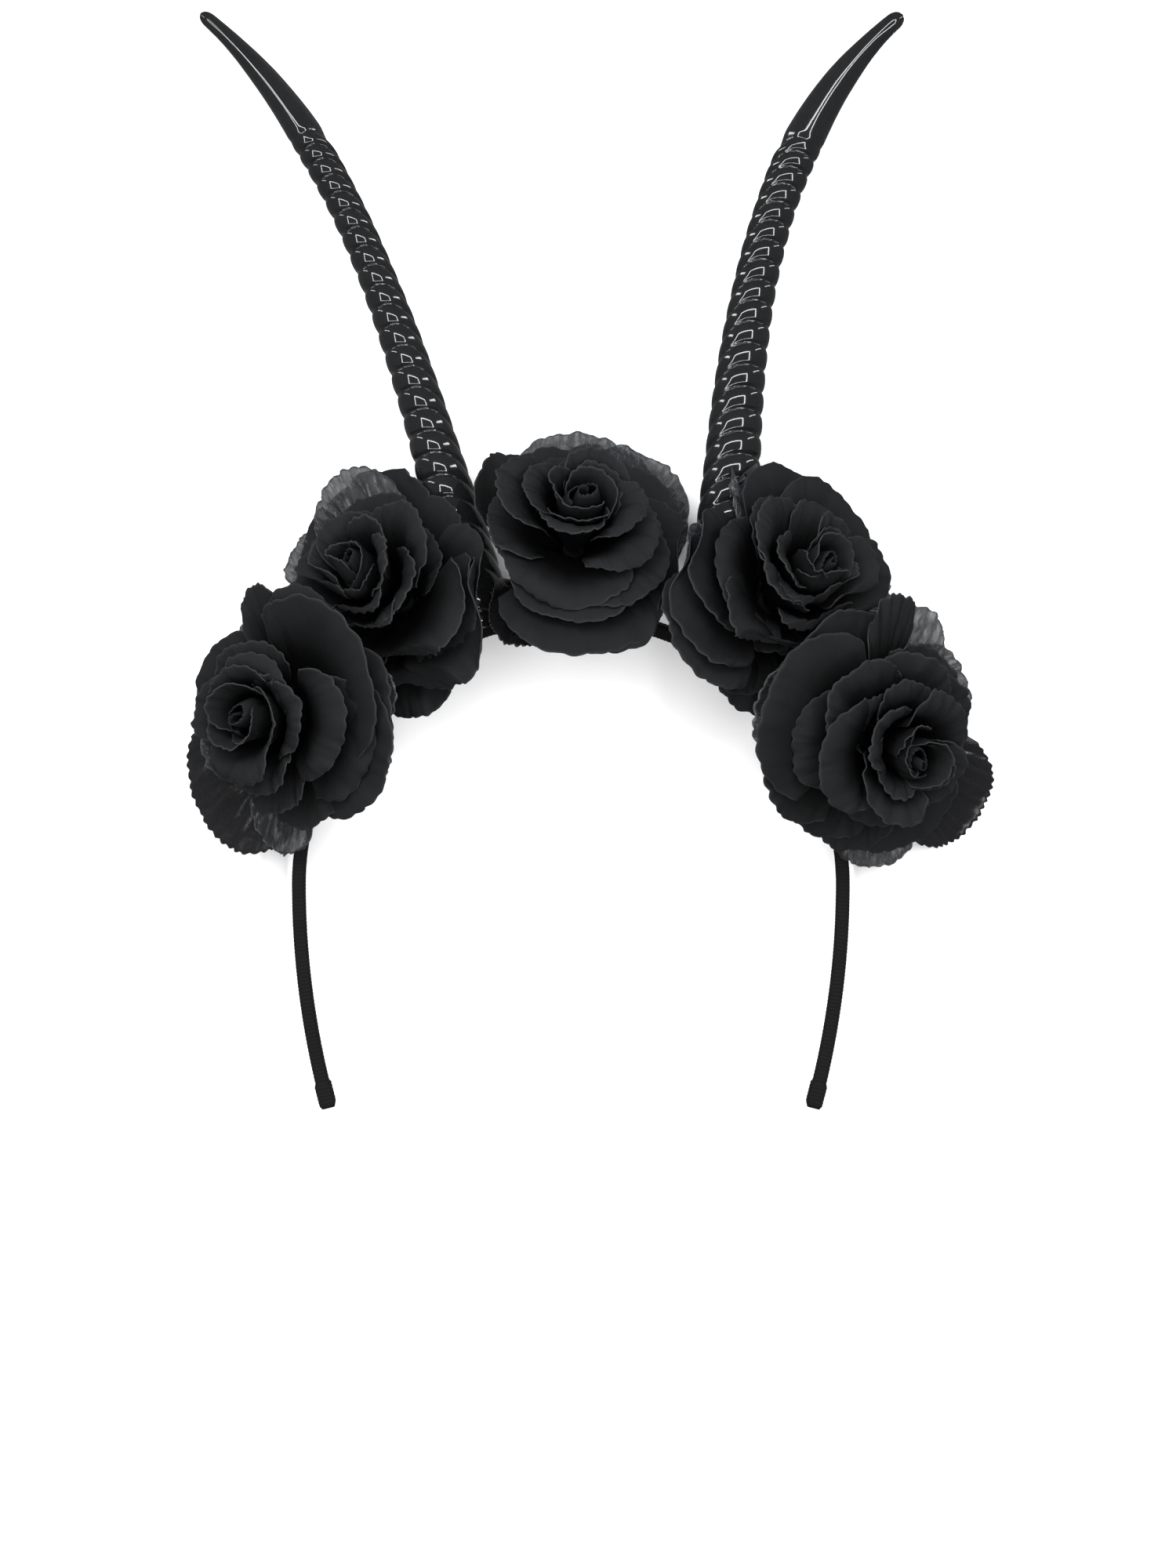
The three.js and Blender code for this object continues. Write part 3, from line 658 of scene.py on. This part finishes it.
def horn_shape():
    """A ribbed horn round its centreline, from a closed cylinder's own coordinates."""
    shape = Shape("Ribbed horn")
    length, base, tip = shape.input("Length"), shape.input("Base"), shape.input("Tip")
    oval, roll, side = shape.input("Oval"), shape.input("Roll"), shape.input("Side")
    ribs, relief_high = shape.input("Ribs"), shape.input("Rib height")
    sunk, stations = shape.input("Sunk"), shape.input("Stations", "Int")
    line = Value(shape, shape.entry.outputs["Geometry"])
    tube = shape.tube(56, stations, 3)
    x, y, z = shape.parts(shape.add("GeometryNodeInputPosition"))
    raw = z * 0.5 + 0.5
    share = raw * (1.0 + sunk) - sunk
    sample = shape.add("GeometryNodeSampleCurve", {"mode": "FACTOR", "use_all_curves": True},
                       {"Curves": line, "Factor": raw})
    point, tangent = sample.out("Position"), sample.out("Tangent")
    up = shape.vector(0.0, 0.0, 1.0)
    sideways = shape.vmath("CROSS_PRODUCT", up, tangent)
    front = shape.vmath("NORMALIZE", shape.vmath("CROSS_PRODUCT", tangent, sideways))
    across = shape.vmath("CROSS_PRODUCT", tangent, front)
    size = (x * x + y * y).math("SQRT")
    turn = shape.math("ARCTAN2", y, x)
    own = turn - roll
    round_ = (own.math("SINE") ** 2.0 + (oval * own.math("COSINE")) ** 2.0).math("SQRT")
    facing = 0.5 + 0.5 * (turn - side * math.radians(40)).math("COSINE")
    taper = base + (tip - base) * share.at_least(0.0)
    slimmer = shape.smooth(share, 0.08, 0.3) * (1.0 - shape.smooth(share, 0.5, 0.72))
    fuller = shape.smooth(share, 0.64, 0.78) * (1.0 - shape.smooth(share, 0.86, 0.97))
    taper = taper * (1.0 - 0.12 * slimmer + 0.17 * fuller)
    # Ribs crowd towards the smooth, slightly fluted tip, and sweep down on the inner side
    swept = share + 0.036 * (1.0 - facing) ** 1.8
    left = (1.0 - swept / 0.76).at_least(0.0)
    count = ribs * (1.0 - left ** (1 / 1.13))
    part = abs(count.math("FRACT") * 2.0 - 1.0)
    uneven = shape.noise(shape.vector(count.math("FLOOR") * 3.7, side, 0.0), 1.0, 0.0)
    bead = 1.0 - 0.40 * part ** 2.0 - 0.60 * part ** 6.0
    ribbed = 1.0 - shape.smooth(share, 0.735, 0.77)
    slim = (taper / (2.0 * tip)).at_most(1.0)
    strong = 0.55 + 0.45 * facing
    skin = relief_high * 0.6 * slim * (1.0 - shape.smooth(share, 0.72, 1.0))
    bump = skin - (1.0 - bead) * relief_high * strong * slim * ribbed * (0.75 + 0.5 * uneven)
    flute = (turn * 3.0 + 0.6).math("COSINE") * 0.035 * shape.smooth(share, 0.72, 0.80) * (
        1.0 - shape.smooth(share, 0.93, 0.985))
    away = ((1.0 - share) * length / (tip * 1.4)).at_most(1.0)
    rounded = (1.0 - (1.0 - away) ** 2.0).at_least(0.0).math("SQRT").at_least(0.02)
    radius = (taper * round_ * (1.0 + flute) + bump) * rounded * size
    drop = 0.35 * taper * (facing - 0.5) * size * (1.0 - shape.smooth(share, 0.93, 0.97))
    place = shape.vmath("ADD", point, shape.scale(front, radius * turn.math("COSINE")))
    place = shape.vmath("ADD", place, shape.scale(across, radius * turn.math("SINE")))
    place = shape.vmath("ADD", place, shape.scale(tangent, drop))
    kept = shape.store(tube, "rim", part ** 7.0 * ribbed * strong)
    moved = shape.add("GeometryNodeSetPosition", None, {"Geometry": kept, "Position": place})
    smooth = shape.add("GeometryNodeSetShadeSmooth", None, {"Geometry": moved, "Shade Smooth": True})
    return shape.end(smooth)


def petal_shape():
    """Petals round a stem that stands on +Z, one for each point of the source, with that point's sizes.
    Each is a fan of cloth that rises from the stem and rolls back along its scalloped rim."""
    shape = Shape("Petals")
    lobes, rows = shape.input("Lobes", "Int"), shape.input("Rows", "Int")
    scallop, tooth, wander = shape.input("Scallop"), shape.input("Tooth"), shape.input("Wander")
    crinkle = shape.input("Crinkle")
    points = Value(shape, shape.entry.outputs["Geometry"])
    grid = shape.add("GeometryNodeMeshGrid", None,
                     {"Size X": 2.0, "Size Y": 2.0, "Vertices X": lobes * 3.0 + 1.0, "Vertices Y": rows})
    across, along, _ = shape.parts(shape.add("GeometryNodeInputPosition"))
    along = 1.0 - (0.5 - along * 0.5) ** 1.3
    grid = shape.store(grid, "across", across)
    # The share of the length, which the cloth finish also uses for its painted shade at the petals' feet
    grid = shape.store(grid, "along", along)
    ring = shape.add("GeometryNodeInstanceOnPoints", None, {"Points": points, "Instance": grid})
    ring = shape.add("GeometryNodeRealizeInstances", None, {"Geometry": ring})
    u, v = shape.named("across"), shape.named("along")
    length, rise, flare, lip, bend = map(shape.named, ("length", "rise", "flare", "lip", "bend"))
    seat, root, spread, turned, skew = map(shape.named, ("seat", "root", "spread", "turn", "skew"))
    pin, ruffle, own = map(shape.named, ("pin", "ruffle", "own"))
    u_wide = abs(u)
    half = length * spread
    uneven = shape.noise(shape.vector(u * 2.6, own * 3.1, 0.0), 1.0, 2.0, w=own) - 0.5
    lobe = abs((u * lobes * (math.pi / 4) + 6.0 * uneven).math("SINE")) ** tooth
    frayed = shape.noise(shape.vector(u * lobes * 0.9, own * 2.3, 0.0), 1.0, 1.0, w=own * 1.9) - 0.5
    rim = 1.0 - 0.30 * u_wide ** 2.6 - skew * u + wander * uneven
    s = v * length * rim + scallop * (lobe + 0.7 * frayed - 0.6) * v ** 16.0
    # Two arcs: up the cup, then back along the lip, which rolls more at one shoulder than at the other
    soft = shape.noise(shape.vector(u * 1.3, v * 1.2, own * 5.3), 1.3, 1.0, w=own * 1.3) - 0.5
    turn_at = bend * length * (1.0 + 0.25 * soft - 0.10 * u * u)
    low = s.at_most(turn_at)
    high = (s - turn_at).at_least(0.0)
    cup_bend = (flare - rise) / turn_at
    lip_bend = (lip * (1.0 + 1.6 * soft + 3.0 * skew * u) / (length - turn_at)).at_least(0.5)
    first = rise + cup_bend * low
    angle = first + lip_bend * high
    radius = seat + (rise.math("COSINE") - first.math("COSINE")) / cup_bend
    height = root + (first.math("SINE") - rise.math("SINE")) / cup_bend
    radius = radius + (first.math("COSINE") - angle.math("COSINE")) / lip_bend
    height = height + (angle.math("SINE") - first.math("SINE")) / lip_bend
    free = ((v - 0.25) / 0.75).at_least(0.0)
    wavy = shape.noise(shape.vector(u * 4.0, v * 1.5, own * 7.7), 1.1, 2.0, w=own * 2.9) - 0.5
    lift = pin * u * free + ruffle * (soft * 1.8 * free + wavy * 2.0 * v ** 3.0)
    creased = shape.noise(shape.vector(u * 9.0, v * 5.0, own * 9.1), 1.0, 2.0, w=own * 4.3) - 0.5
    lift = lift + crinkle * creased * shape.smooth(v, 0.3, 0.8)
    out = radius - lift * angle.math("COSINE")
    up = height + lift * angle.math("SINE")
    swing = turned + u * spread * (0.45 + 0.55 * shape.smooth(v, 0.0, 0.75))
    place = shape.vector(out * swing.math("COSINE"), out * swing.math("SINE"), up)
    edge = ((1.0 - v) * length / 0.0016).at_most(1.0)
    side_edge = ((1.0 - u_wide) * half / 0.0010).at_most(1.0)
    # The rim mask, which the cloth finish lights with a painted highlight
    ring = shape.store(ring, "rim", 1.0 - edge * side_edge)
    cut = shape.vector(u * half * v + own * 0.013, v * length, 0.0)
    ring = shape.store(ring, "cut", cut, "FLOAT_VECTOR")
    ring = shape.add("GeometryNodeSetPosition", None, {"Geometry": ring, "Position": place})
    ring = shape.add("GeometryNodeSetShadeSmooth", None, {"Geometry": ring, "Shade Smooth": True})
    return shape.end(ring)


def petal_points(name, rows):
    """A mesh with a point for each petal, which carries that petal's sizes."""
    mesh = bpy.data.meshes.new(name + "_points")
    mesh.from_pydata([(0.0, 0.0, 0.0)] * len(rows), [], [])
    for column in rows[0]:
        layer = mesh.attributes.new(column, "FLOAT", "POINT")
        layer.data.foreach_set("value", [row[column] for row in rows])
    return mesh


def own_turn(rose, compass):
    """The turn round a rose's own axis that points in a compass direction, seen from the front."""
    tilt = math.radians(rose["tilt"])
    apart = math.radians(compass - rose["facing"])
    return math.radians(rose["facing"] - rose["turn"]) + math.atan2(
        math.sin(apart) * math.cos(tilt), math.cos(apart))


def rose_turn(rose):
    """The turn that takes a rose's own Z to its axis."""
    tilt = math.radians(rose["tilt"])
    axis = polar(math.sin(tilt), rose["facing"], math.cos(tilt))
    own = Quaternion((0, 0, 1), math.radians(rose["turn"]))
    return (Vector((0, 0, 1)).rotation_difference(axis) @ own).to_matrix()


def aimed(rose, row, rim):
    """Turns, leans and lengthens a petal until the middle of its rim is at a place seen from the front."""
    matrix = np.array(rose_turn(rose))[:2]
    turns = np.radians(np.arange(0.0, 360.0, 1.0))
    ring = np.stack((np.cos(turns), np.sin(turns)), 1)
    goal = np.array(rim) * MM
    start = np.column_stack((ring * row["seat"], np.full(360, row["root"]))) @ matrix.T
    best = None
    for lean_by in (0, -8, 8, -16, 16, -24, 24):
        rise = max(row["rise"] + math.radians(lean_by), 0.05)
        flare = max(row["flare"] + math.radians(lean_by), 0.15)
        lip, bend = row["lip"], row["bend"]
        end = flare + lip
        reach = bend * (math.cos(rise) - math.cos(flare)) / (flare - rise)
        climb = bend * (math.sin(flare) - math.sin(rise)) / (flare - rise)
        reach += (1 - bend) * (math.cos(flare) - math.cos(end)) / lip
        climb += (1 - bend) * (math.sin(end) - math.sin(flare)) / lip
        way = np.column_stack((ring * reach, np.full(360, climb))) @ matrix.T
        lengths = ((goal - start) * way).sum(1) / (way * way).sum(1)
        lengths = np.clip(lengths, 0.6 * row["length"], 1.4 * row["length"])
        missed = np.hypot(*(start + lengths[:, None] * way - goal).T)
        cost = missed + 0.10 * np.abs(lengths - row["length"]) + 0.08 * abs(lean_by) * MM
        turn = int(cost.argmin())
        if best is None or cost[turn] < best[0]:
            best = (cost[turn], {"turn": float(turns[turn]), "length": float(lengths[turn]), "rise": rise,
                                 "flare": flare})
    row.update(best[1])


def petal_rows(rose, number, order, reach, seed):
    """The sizes of each petal of a ring, which vary a little from petal to petal."""
    ring = RINGS[order]
    luck = np.random.default_rng(seed + 101 * number + 13 * order)
    count = ring["petals"]
    placed = PLACED.get((rose["name"], order))
    if placed is None:
        first = FIRST[rose["name"]][order - SPACED_RING]
        placed = [{"at": first + 360 * petal / count} for petal in range(count)]
    if order == CLOSING_RING:
        placed += CLOSING_PETALS
    rows = []
    for petal, changes in enumerate(placed):
        sway = luck.uniform(-1, 1, 8)
        own = dict(ring, **changes)
        wild = 0.3 if "rim" in changes else 1.0
        row = {
            "turn": own_turn(rose, own.get("at", 0) + 10 * sway[0]),
            "length": own["length"] * reach * (1 + 0.08 * wild * sway[1]),
            "rise": math.radians(own["rise"] + 4 * wild * sway[2]),
            "flare": math.radians(own["flare"] + 0.5 + 10 * wild * sway[3]),
            "lip": math.radians(own["lip"] * (1 + 0.5 * sway[4])),
            "bend": own["bend"] + 0.05 * sway[5],
            "spread": math.radians(own["spread"] * (1 + 0.10 * sway[6])),
            "skew": 0.07 * sway[7],
            "seat": (3.2 + 0.3 * order) * MM,
            "root": own["root"] * reach,
            "pin": own["pin"] * reach,
            "ruffle": own["ruffle"] * reach,
            "own": 1.7 * number + 3.1 * order + 0.9 * petal + 0.37,
            "loose": float(own.get("loose", 0)),
        }
        if "rim" in own:
            aimed(rose, row, own["rim"])
        rows.append(row)
    return rows


def bud_shape():
    """The rolled strip in the middle of a rose, round +Z."""
    shape = Shape("Rolled bud")
    radius, eye = shape.input("Radius"), shape.input("Eye")
    foot, top, turns = shape.input("Foot"), shape.input("Top"), shape.input("Turns")
    scallop, seed = shape.input("Scallop"), shape.input("Seed", "Int")
    grid = shape.add("GeometryNodeMeshGrid", None,
                     {"Size X": 1.0, "Size Y": 1.0, "Vertices X": 181, "Vertices Y": 14})
    a, b, _ = shape.parts(shape.add("GeometryNodeInputPosition"))
    u = a + 0.5
    v = b + 0.5
    belly = 0.62 + 1.45 * v - 1.42 * v * v
    noise = shape.noise(shape.vector(u * 7.0, v * 1.2, 0.0), 1.0, 2.0, w=seed * 1.3) - 0.5
    away = (eye + (radius - eye) * u ** 0.8) * belly * (1.0 + noise * 0.45 * v)
    turn = math.tau * turns * u + noise * 0.7
    lobe = abs((u * (math.pi * 22.0)).math("SINE")) ** 0.7
    dip = shape.noise(shape.vector(u * 3.3, 0.0, 5.0), 1.0, 1.0, w=seed * 1.9) - 0.5
    high = foot + (top - foot) * v * (1.0 - 0.22 * u + 0.5 * dip) + scallop * lobe * v ** 5.0
    place = shape.vector(away * 1.2 * turn.math("COSINE"), away * 0.8 * turn.math("SINE"), high)
    # Masks for the cloth finish's painted highlight along the top rim and painted shade at the foot
    kept = shape.store(grid, "rim", ((v - 0.92) / 0.08).at_least(0.0) * 0.7)
    kept = shape.store(kept, "cut", shape.vector(u * 0.09, v * 0.016, 0.0), "FLOAT_VECTOR")
    kept = shape.store(kept, "along", v)
    moved = shape.add("GeometryNodeSetPosition", None, {"Geometry": kept, "Position": place})
    smooth = shape.add("GeometryNodeSetShadeSmooth", None, {"Geometry": moved, "Shade Smooth": True})
    return shape.end(smooth)


def rose_place(rose, sizes):
    """The turn and place that take a rose's own Z to its axis."""
    reach = sizes.arch_radius + sizes.band_thickness / 2 + ROSE_STAND_OFF * rose["off"]
    at = polar(reach, rose["root"], ROSE_LIFT * rose["lift"]) + ARCH_MIDDLE
    return Matrix.Translation(at) @ rose_turn(rose).to_4x4()


# Room for half a petal's thickness, and how softly petals give way to each other and to a horn
CLOTH_ROOM = 0.3 * MM
SOFT_EASE = 1.6 * MM
HARD_EASE = 0.8 * MM
# How far petals stay over the surface
OVER_SURFACE = 0.6 * MM


def kept_off(distance, keep, ease):
    """Distances eased so that none is under keep, and those well over it stay."""
    return keep + ease * np.logaddexp(0.0, (distance - keep) / ease)


def press(points, rose, margin, loose, lines):
    """Petals pressed aside by the next roses and the horns."""
    place = ROSES.index(rose)
    points = points.copy()
    for border, way in ((place, 1), (place - 1, -1)):
        if not 0 <= border < len(BORDERS):
            continue
        slope = math.radians(BORDERS[border]["lean"])
        normal = polar(math.cos(slope), BORDERS[border]["at"] + 90) + Vector((0, 0, math.sin(slope)))
        normal = np.array(normal) * way
        from_middle = points - np.array(ARCH_MIDDLE)
        away = np.hypot(from_middle[:, 0], from_middle[:, 1])
        wave = 0.0028 * np.sin(away / 0.0068 + 2.0 * border) * np.cos(from_middle[:, 2] / 0.009 + border)
        distance = from_middle @ normal - normal[2] * BORDER_HEIGHT - way * wave
        eased = kept_off(distance, margin + CLOTH_ROOM, SOFT_EASE)
        moved = (eased - distance) * (1 - loose)
        up = np.array((0.0, 0.0, 1.0)) - normal * normal[2]
        points += moved[:, None] * normal + (moved * 0.35)[:, None] * up
    for line, half in lines:
        for _ in range(2):
            gaps = points[:, None, :] - line[None, :, :]
            apart = np.einsum("ijk,ijk->ij", gaps, gaps)
            nearest = apart.argmin(1)
            rows = np.arange(len(points))
            distance = np.sqrt(apart[rows, nearest])
            way = gaps[rows, nearest] / np.maximum(distance, 1e-6)[:, None]
            room = half[nearest] + margin + CLOTH_ROOM
            ends = (nearest == 0) | (nearest == len(line) - 1)
            moved = np.where(ends, 0.0, kept_off(distance, room, HARD_EASE) - distance)
            points += moved[:, None] * way
    return points


def dressed(obj, *nodes, slot=None):
    """Rides on the part and takes the place of its solids."""
    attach(obj, "root")
    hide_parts(*nodes)


def thicken(obj, wall):
    """A wall of cloth round the petals' middle surface, with closed rims."""
    solidify = obj.modifiers.new("Cloth", "SOLIDIFY")
    solidify.thickness = wall
    solidify.offset = 0.0
    solidify.use_even_offset = False
    seen = obj.evaluated_get(bpy.context.evaluated_depsgraph_get())
    mesh = bpy.data.meshes.new_from_object(seen)
    obj.modifiers.remove(solidify)
    old = obj.data
    obj.data = mesh
    bpy.data.meshes.remove(old)
    mesh.name = obj.name


def seat_petals(obj, rose, margin, sizes, lines):
    """Takes a ring from its own axis to its rose, pressed aside by what it meets."""
    turned = np.array(rose_place(rose, sizes))
    points = points_of(obj) @ turned[:3, :3].T + turned[:3, 3]
    loose = np.zeros(len(points))
    if "loose" in obj.data.attributes:
        obj.data.attributes["loose"].data.foreach_get("value", loose)
    points = press(points, rose, margin, loose, lines)
    points[:, 2] = np.maximum(points[:, 2], OVER_SURFACE)
    put_points(obj, points)


def joined(objects, name):
    """One object from several, with their attributes kept."""
    first = objects[0]
    if len(objects) > 1:
        with bpy.context.temp_override(active_object=first, selected_editable_objects=objects,
                                       selected_objects=objects, object=first):
            bpy.ops.object.join()
    first.name = name
    first.data.name = name
    return first


def end_at_band(obj, line, sizes):
    """Brings what a horn has inside the band out to the ribbon, along the horn, as its solid is seated."""
    points = points_of(obj)
    turned = np.array(Matrix.Rotation(BAND_LEAN, 3, "X"))
    flat = ((points - np.array(lean((0, 0, 0), sizes))) @ turned)[:, :2]
    along = (np.array(line[1]) - np.array(line[0])) @ turned
    along = along / np.linalg.norm(along)
    square = along[0] ** 2 + along[1] ** 2
    across = flat @ along[:2]
    face = sizes.arch_radius + sizes.band_thickness / 2 - 0.3 * MM
    short = (flat ** 2).sum(axis=1) - face ** 2
    out = (np.sqrt(np.maximum(across ** 2 - square * short, 0.0)) - across) / square
    put_points(obj, points + np.where(short < 0, out, 0.0)[:, None] * along @ turned.T)


class HEADBAND_OT_band(bpy.types.Operator):
    """Makes the ribbon-covered band."""

    bl_idname = "headband.band"
    bl_label = "Band"

    def execute(self, context):
        sizes = context.scene.headband_sizes
        obj = band_shape().make(
            "band_ribbon", ribbon_finish(), arch_radius=sizes.arch_radius, arm_radius=sizes.arm_radius,
            arm_drop=sizes.arm_drop, width=sizes.band_width, thickness=sizes.band_thickness,
            rib_pitch=sizes.rib_pitch, hem_length=sizes.hem_length, lean=BAND_LEAN,
            arch_middle=ARCH_MIDDLE, stations=1700)
        dressed(obj, "band", slot="ribbon")
        return {"FINISHED"}


class HEADBAND_OT_horns(bpy.types.Operator):
    """Makes both ribbed horns."""

    bl_idname = "headband.horns"
    bl_label = "Horns"

    def execute(self, context):
        sizes = context.scene.headband_sizes
        shape = horn_shape()
        finish = horn_finish()
        for horn in HORNS:
            curve = bpy.data.curves.new(horn["name"] + "_line", "CURVE")
            curve.dimensions = "3D"
            spline = curve.splines.new("POLY")
            line = horn_line(horn, sizes)
            spline.points.add(len(line) - 1)
            for spot, at in zip(spline.points, line):
                spot.co = (*at, 1)
            obj = shape.make(
                horn["name"] + "_ribbed", finish, source=curve, length=sizes.horn_length,
                base=sizes.horn_base, tip=sizes.horn_tip, oval=sizes.horn_oval, sunk=HORN_SUNK,
                roll=math.radians(horn["roll"]), side=float(horn["side"]), ribs=float(sizes.horn_ribs),
                rib_height=sizes.rib_height, stations=420)
            end_at_band(obj, line, sizes)
            dressed(obj, horn["name"], slot="horn")
        return {"FINISHED"}


class HEADBAND_OT_roses(bpy.types.Operator):
    """Makes the five roses, ring by ring."""

    bl_idname = "headband.roses"
    bl_label = "Roses"

    def execute(self, context):
        sizes = context.scene.headband_sizes
        look = context.scene.headband_roses
        cloth = cloth_finish("matte_cloth", tuple(look.cloth), 0.85, 0.04, rim_light=1.4, specular=0.06)
        sheer = cloth_finish("sheer_cloth", tuple(look.sheer), 0.45, 3.0, rim_light=0.8, specular=0.5,
                             sheen=0.10, weave=0.6 * MM, alpha=0.78)
        satin = cloth_finish("satin", tuple(look.satin), 0.30, 2.0, specular=0.4, weave=0.4 * MM)
        petals, bud = petal_shape(), bud_shape()
        lines = []
        for horn in HORNS:
            line = np.array(horn_line(horn, sizes)[1:][:NEAR_STEPS:4])
            share = np.linspace(0, NEAR_STEPS / LINE_STEPS, len(line))
            narrow = sizes.horn_oval if horn["roll"] > 45 else 1.0
            half = sizes.horn_base + (sizes.horn_tip - sizes.horn_base) * share
            lines.append((line, half * narrow + sizes.rib_height))
        for number, rose in enumerate(ROSES):
            reach = look.radius * rose["size"]
            for node in ("organza", "outer", "middle", "inner"):
                rings = []
                for order, ring in enumerate(RINGS):
                    if ring["node"] != node:
                        continue
                    name = f"{rose['name']}_{node}_{order}"
                    rows = petal_rows(rose, number, order, reach, look.seed)
                    obj = petals.make(
                        name, sheer if node == "organza" else cloth, source=petal_points(name, rows),
                        lobes=22 if order < 4 else 18, rows=16, scallop=look.scallop, tooth=0.8,
                        wander=0.12, crinkle=(5.0 if node == "organza" else 0.08) * MM)
                    seat_petals(obj, rose, ring["press"] * MM, sizes, lines)
                    rings.append(obj)
                whole = joined(rings, f"{rose['name']}_{node}_cloth")
                thicken(whole, look.wall)
                slot = "organza" if node == "organza" else "petal"
                dressed(whole, f"{rose['name']}_{node}_petals", slot=slot)
            roll = bud.make(f"{rose['name']}_bud_roll", cloth, radius=6.2 * MM * rose["size"],
                            eye=0.6 * MM, foot=0.54 * reach, top=0.96 * reach, turns=1.6,
                            scallop=look.scallop, seed=look.seed + number)
            seat_petals(roll, rose, 0.005, sizes, lines)
            thicken(roll, look.wall)
            dressed(roll, f"{rose['name']}_bud", slot="petal")
        for leaf in LEAVES:
            rose = next(one for one in ROSES if one["name"] == leaf["rose"])
            reach = look.radius * rose["size"]
            name = f"{leaf['rose']}_satin"
            row = {
                "turn": 0.0, "length": leaf["length"] * reach, "rise": math.radians(leaf["rise"]),
                "flare": math.radians(leaf["flare"]), "lip": 0.15, "bend": 0.6,
                "spread": math.radians(leaf["spread"]), "skew": 0.0, "seat": 4.2 * MM,
                "root": LEAF_ROOT * reach, "pin": 0.0, "ruffle": 0.07 * reach,
                "own": 0.4 * leaf["spread"], "loose": 0.0,
            }
            aimed(rose, row, leaf["rim"])
            obj = petals.make(name, satin, source=petal_points(name, [row]), lobes=46, rows=18,
                              scallop=0.9 * MM, tooth=1.6, wander=0.05, crinkle=2.8 * MM)
            seat_petals(obj, rose, 0.0002, sizes, lines)
            thicken(obj, look.wall)
            dressed(obj, f"{leaf['rose']}_leaf", slot="satin")
        return {"FINISHED"}


class HEADBAND_OT_stems(bpy.types.Operator):
    """Winds tape round the stems' solids."""

    bl_idname = "headband.stems"
    bl_label = "Stems"

    def execute(self, context):
        finish = stem_finish()
        for rose in ROSES:
            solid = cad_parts[f"{rose['name']}_stem"]
            solid.data.materials.clear()
            solid.data.materials.append(finish)
        return {"FINISHED"}


class HEADBAND_OT_stage(bpy.types.Operator):
    """Sets the camera, the pale floor and the studio lights."""

    bl_idname = "headband.stage"
    bl_label = "Stage"

    def execute(self, context):
        scene = context.scene
        camera_data = bpy.data.cameras.new("camera")
        camera_data.sensor_fit = "VERTICAL"
        camera_data.sensor_height = 36
        camera_data.lens = camera_data.sensor_height * CAMERA_AWAY / VIEW_HEIGHT
        camera = bpy.data.objects.new("camera", camera_data)
        camera.location = Vector(VIEW_MIDDLE) + Vector((0, 0, CAMERA_AWAY))
        scene.collection.objects.link(camera)
        scene.camera = camera
        scene.view_settings.view_transform = "Standard"

        corners = [(x * FLOOR_HALF, y * FLOOR_HALF, 0) for x, y in ((-1, -1), (1, -1), (1, 1), (-1, 1))]
        floor_mesh = bpy.data.meshes.new("floor")
        floor_mesh.from_pydata(corners, [], [(0, 1, 2, 3)])
        floor = bpy.data.objects.new("floor", floor_mesh)
        floor.location.z = -0.2 * MM
        floor.visible_glossy = False
        scene.collection.objects.link(floor)
        floor_mesh.materials.append(paper_finish())

        world = bpy.data.worlds.new("studio")
        world.use_nodes = True
        sky = world.node_tree.nodes["Background"].inputs
        sky["Color"].default_value = (1.0, 1.0, 1.0, 1)
        sky["Strength"].default_value = 0.22
        scene.world = world

        for name, place, wide, high, power, mirrored in LIGHTS:
            data = bpy.data.lights.new(name, "AREA")
            data.shape = "RECTANGLE"
            data.size = wide
            data.size_y = high
            data.energy = power
            light = bpy.data.objects.new(name, data)
            light.location = place
            light.visible_glossy = mirrored
            light.visible_camera = False
            light.rotation_euler = (LIT_POINT - Vector(place)).to_track_quat("-Z", "Y").to_euler()
            scene.collection.objects.link(light)
        return {"FINISHED"}


class HEADBAND_PT_panel(bpy.types.Panel):
    """Lists the pieces of the headband."""

    bl_idname = "HEADBAND_PT_panel"
    bl_label = "Horned Rose Headband"
    bl_space_type = "VIEW_3D"
    bl_region_type = "UI"
    bl_category = "Headband"

    def draw(self, context):
        for step in STEPS:
            self.layout.operator(step.bl_idname)
        for group in (context.scene.headband_sizes, context.scene.headband_roses):
            box = self.layout.box()
            for name in group.bl_rna.properties.keys():
                if name not in ("rna_type", "name"):
                    box.prop(group, name)


STEPS = (HEADBAND_OT_stage, HEADBAND_OT_band, HEADBAND_OT_horns, HEADBAND_OT_roses, HEADBAND_OT_stems)
CLASSES = (HeadbandSizes, RoseLook, *STEPS, HEADBAND_PT_panel)


def register():
    for one in CLASSES:
        bpy.utils.register_class(one)
    bpy.types.Scene.headband_sizes = PointerProperty(type=HeadbandSizes)
    bpy.types.Scene.headband_roses = PointerProperty(type=RoseLook)


def unregister():
    del bpy.types.Scene.headband_roses
    del bpy.types.Scene.headband_sizes
    for one in reversed(CLASSES):
        bpy.utils.unregister_class(one)


def main():
    register()
    for step in STEPS:
        group, name = step.bl_idname.split(".")
        if getattr(getattr(bpy.ops, group), name)() != {"FINISHED"}:
            raise RuntimeError(f"{step.bl_label} wasn't finished")


if __name__ == "__main__":
    main()
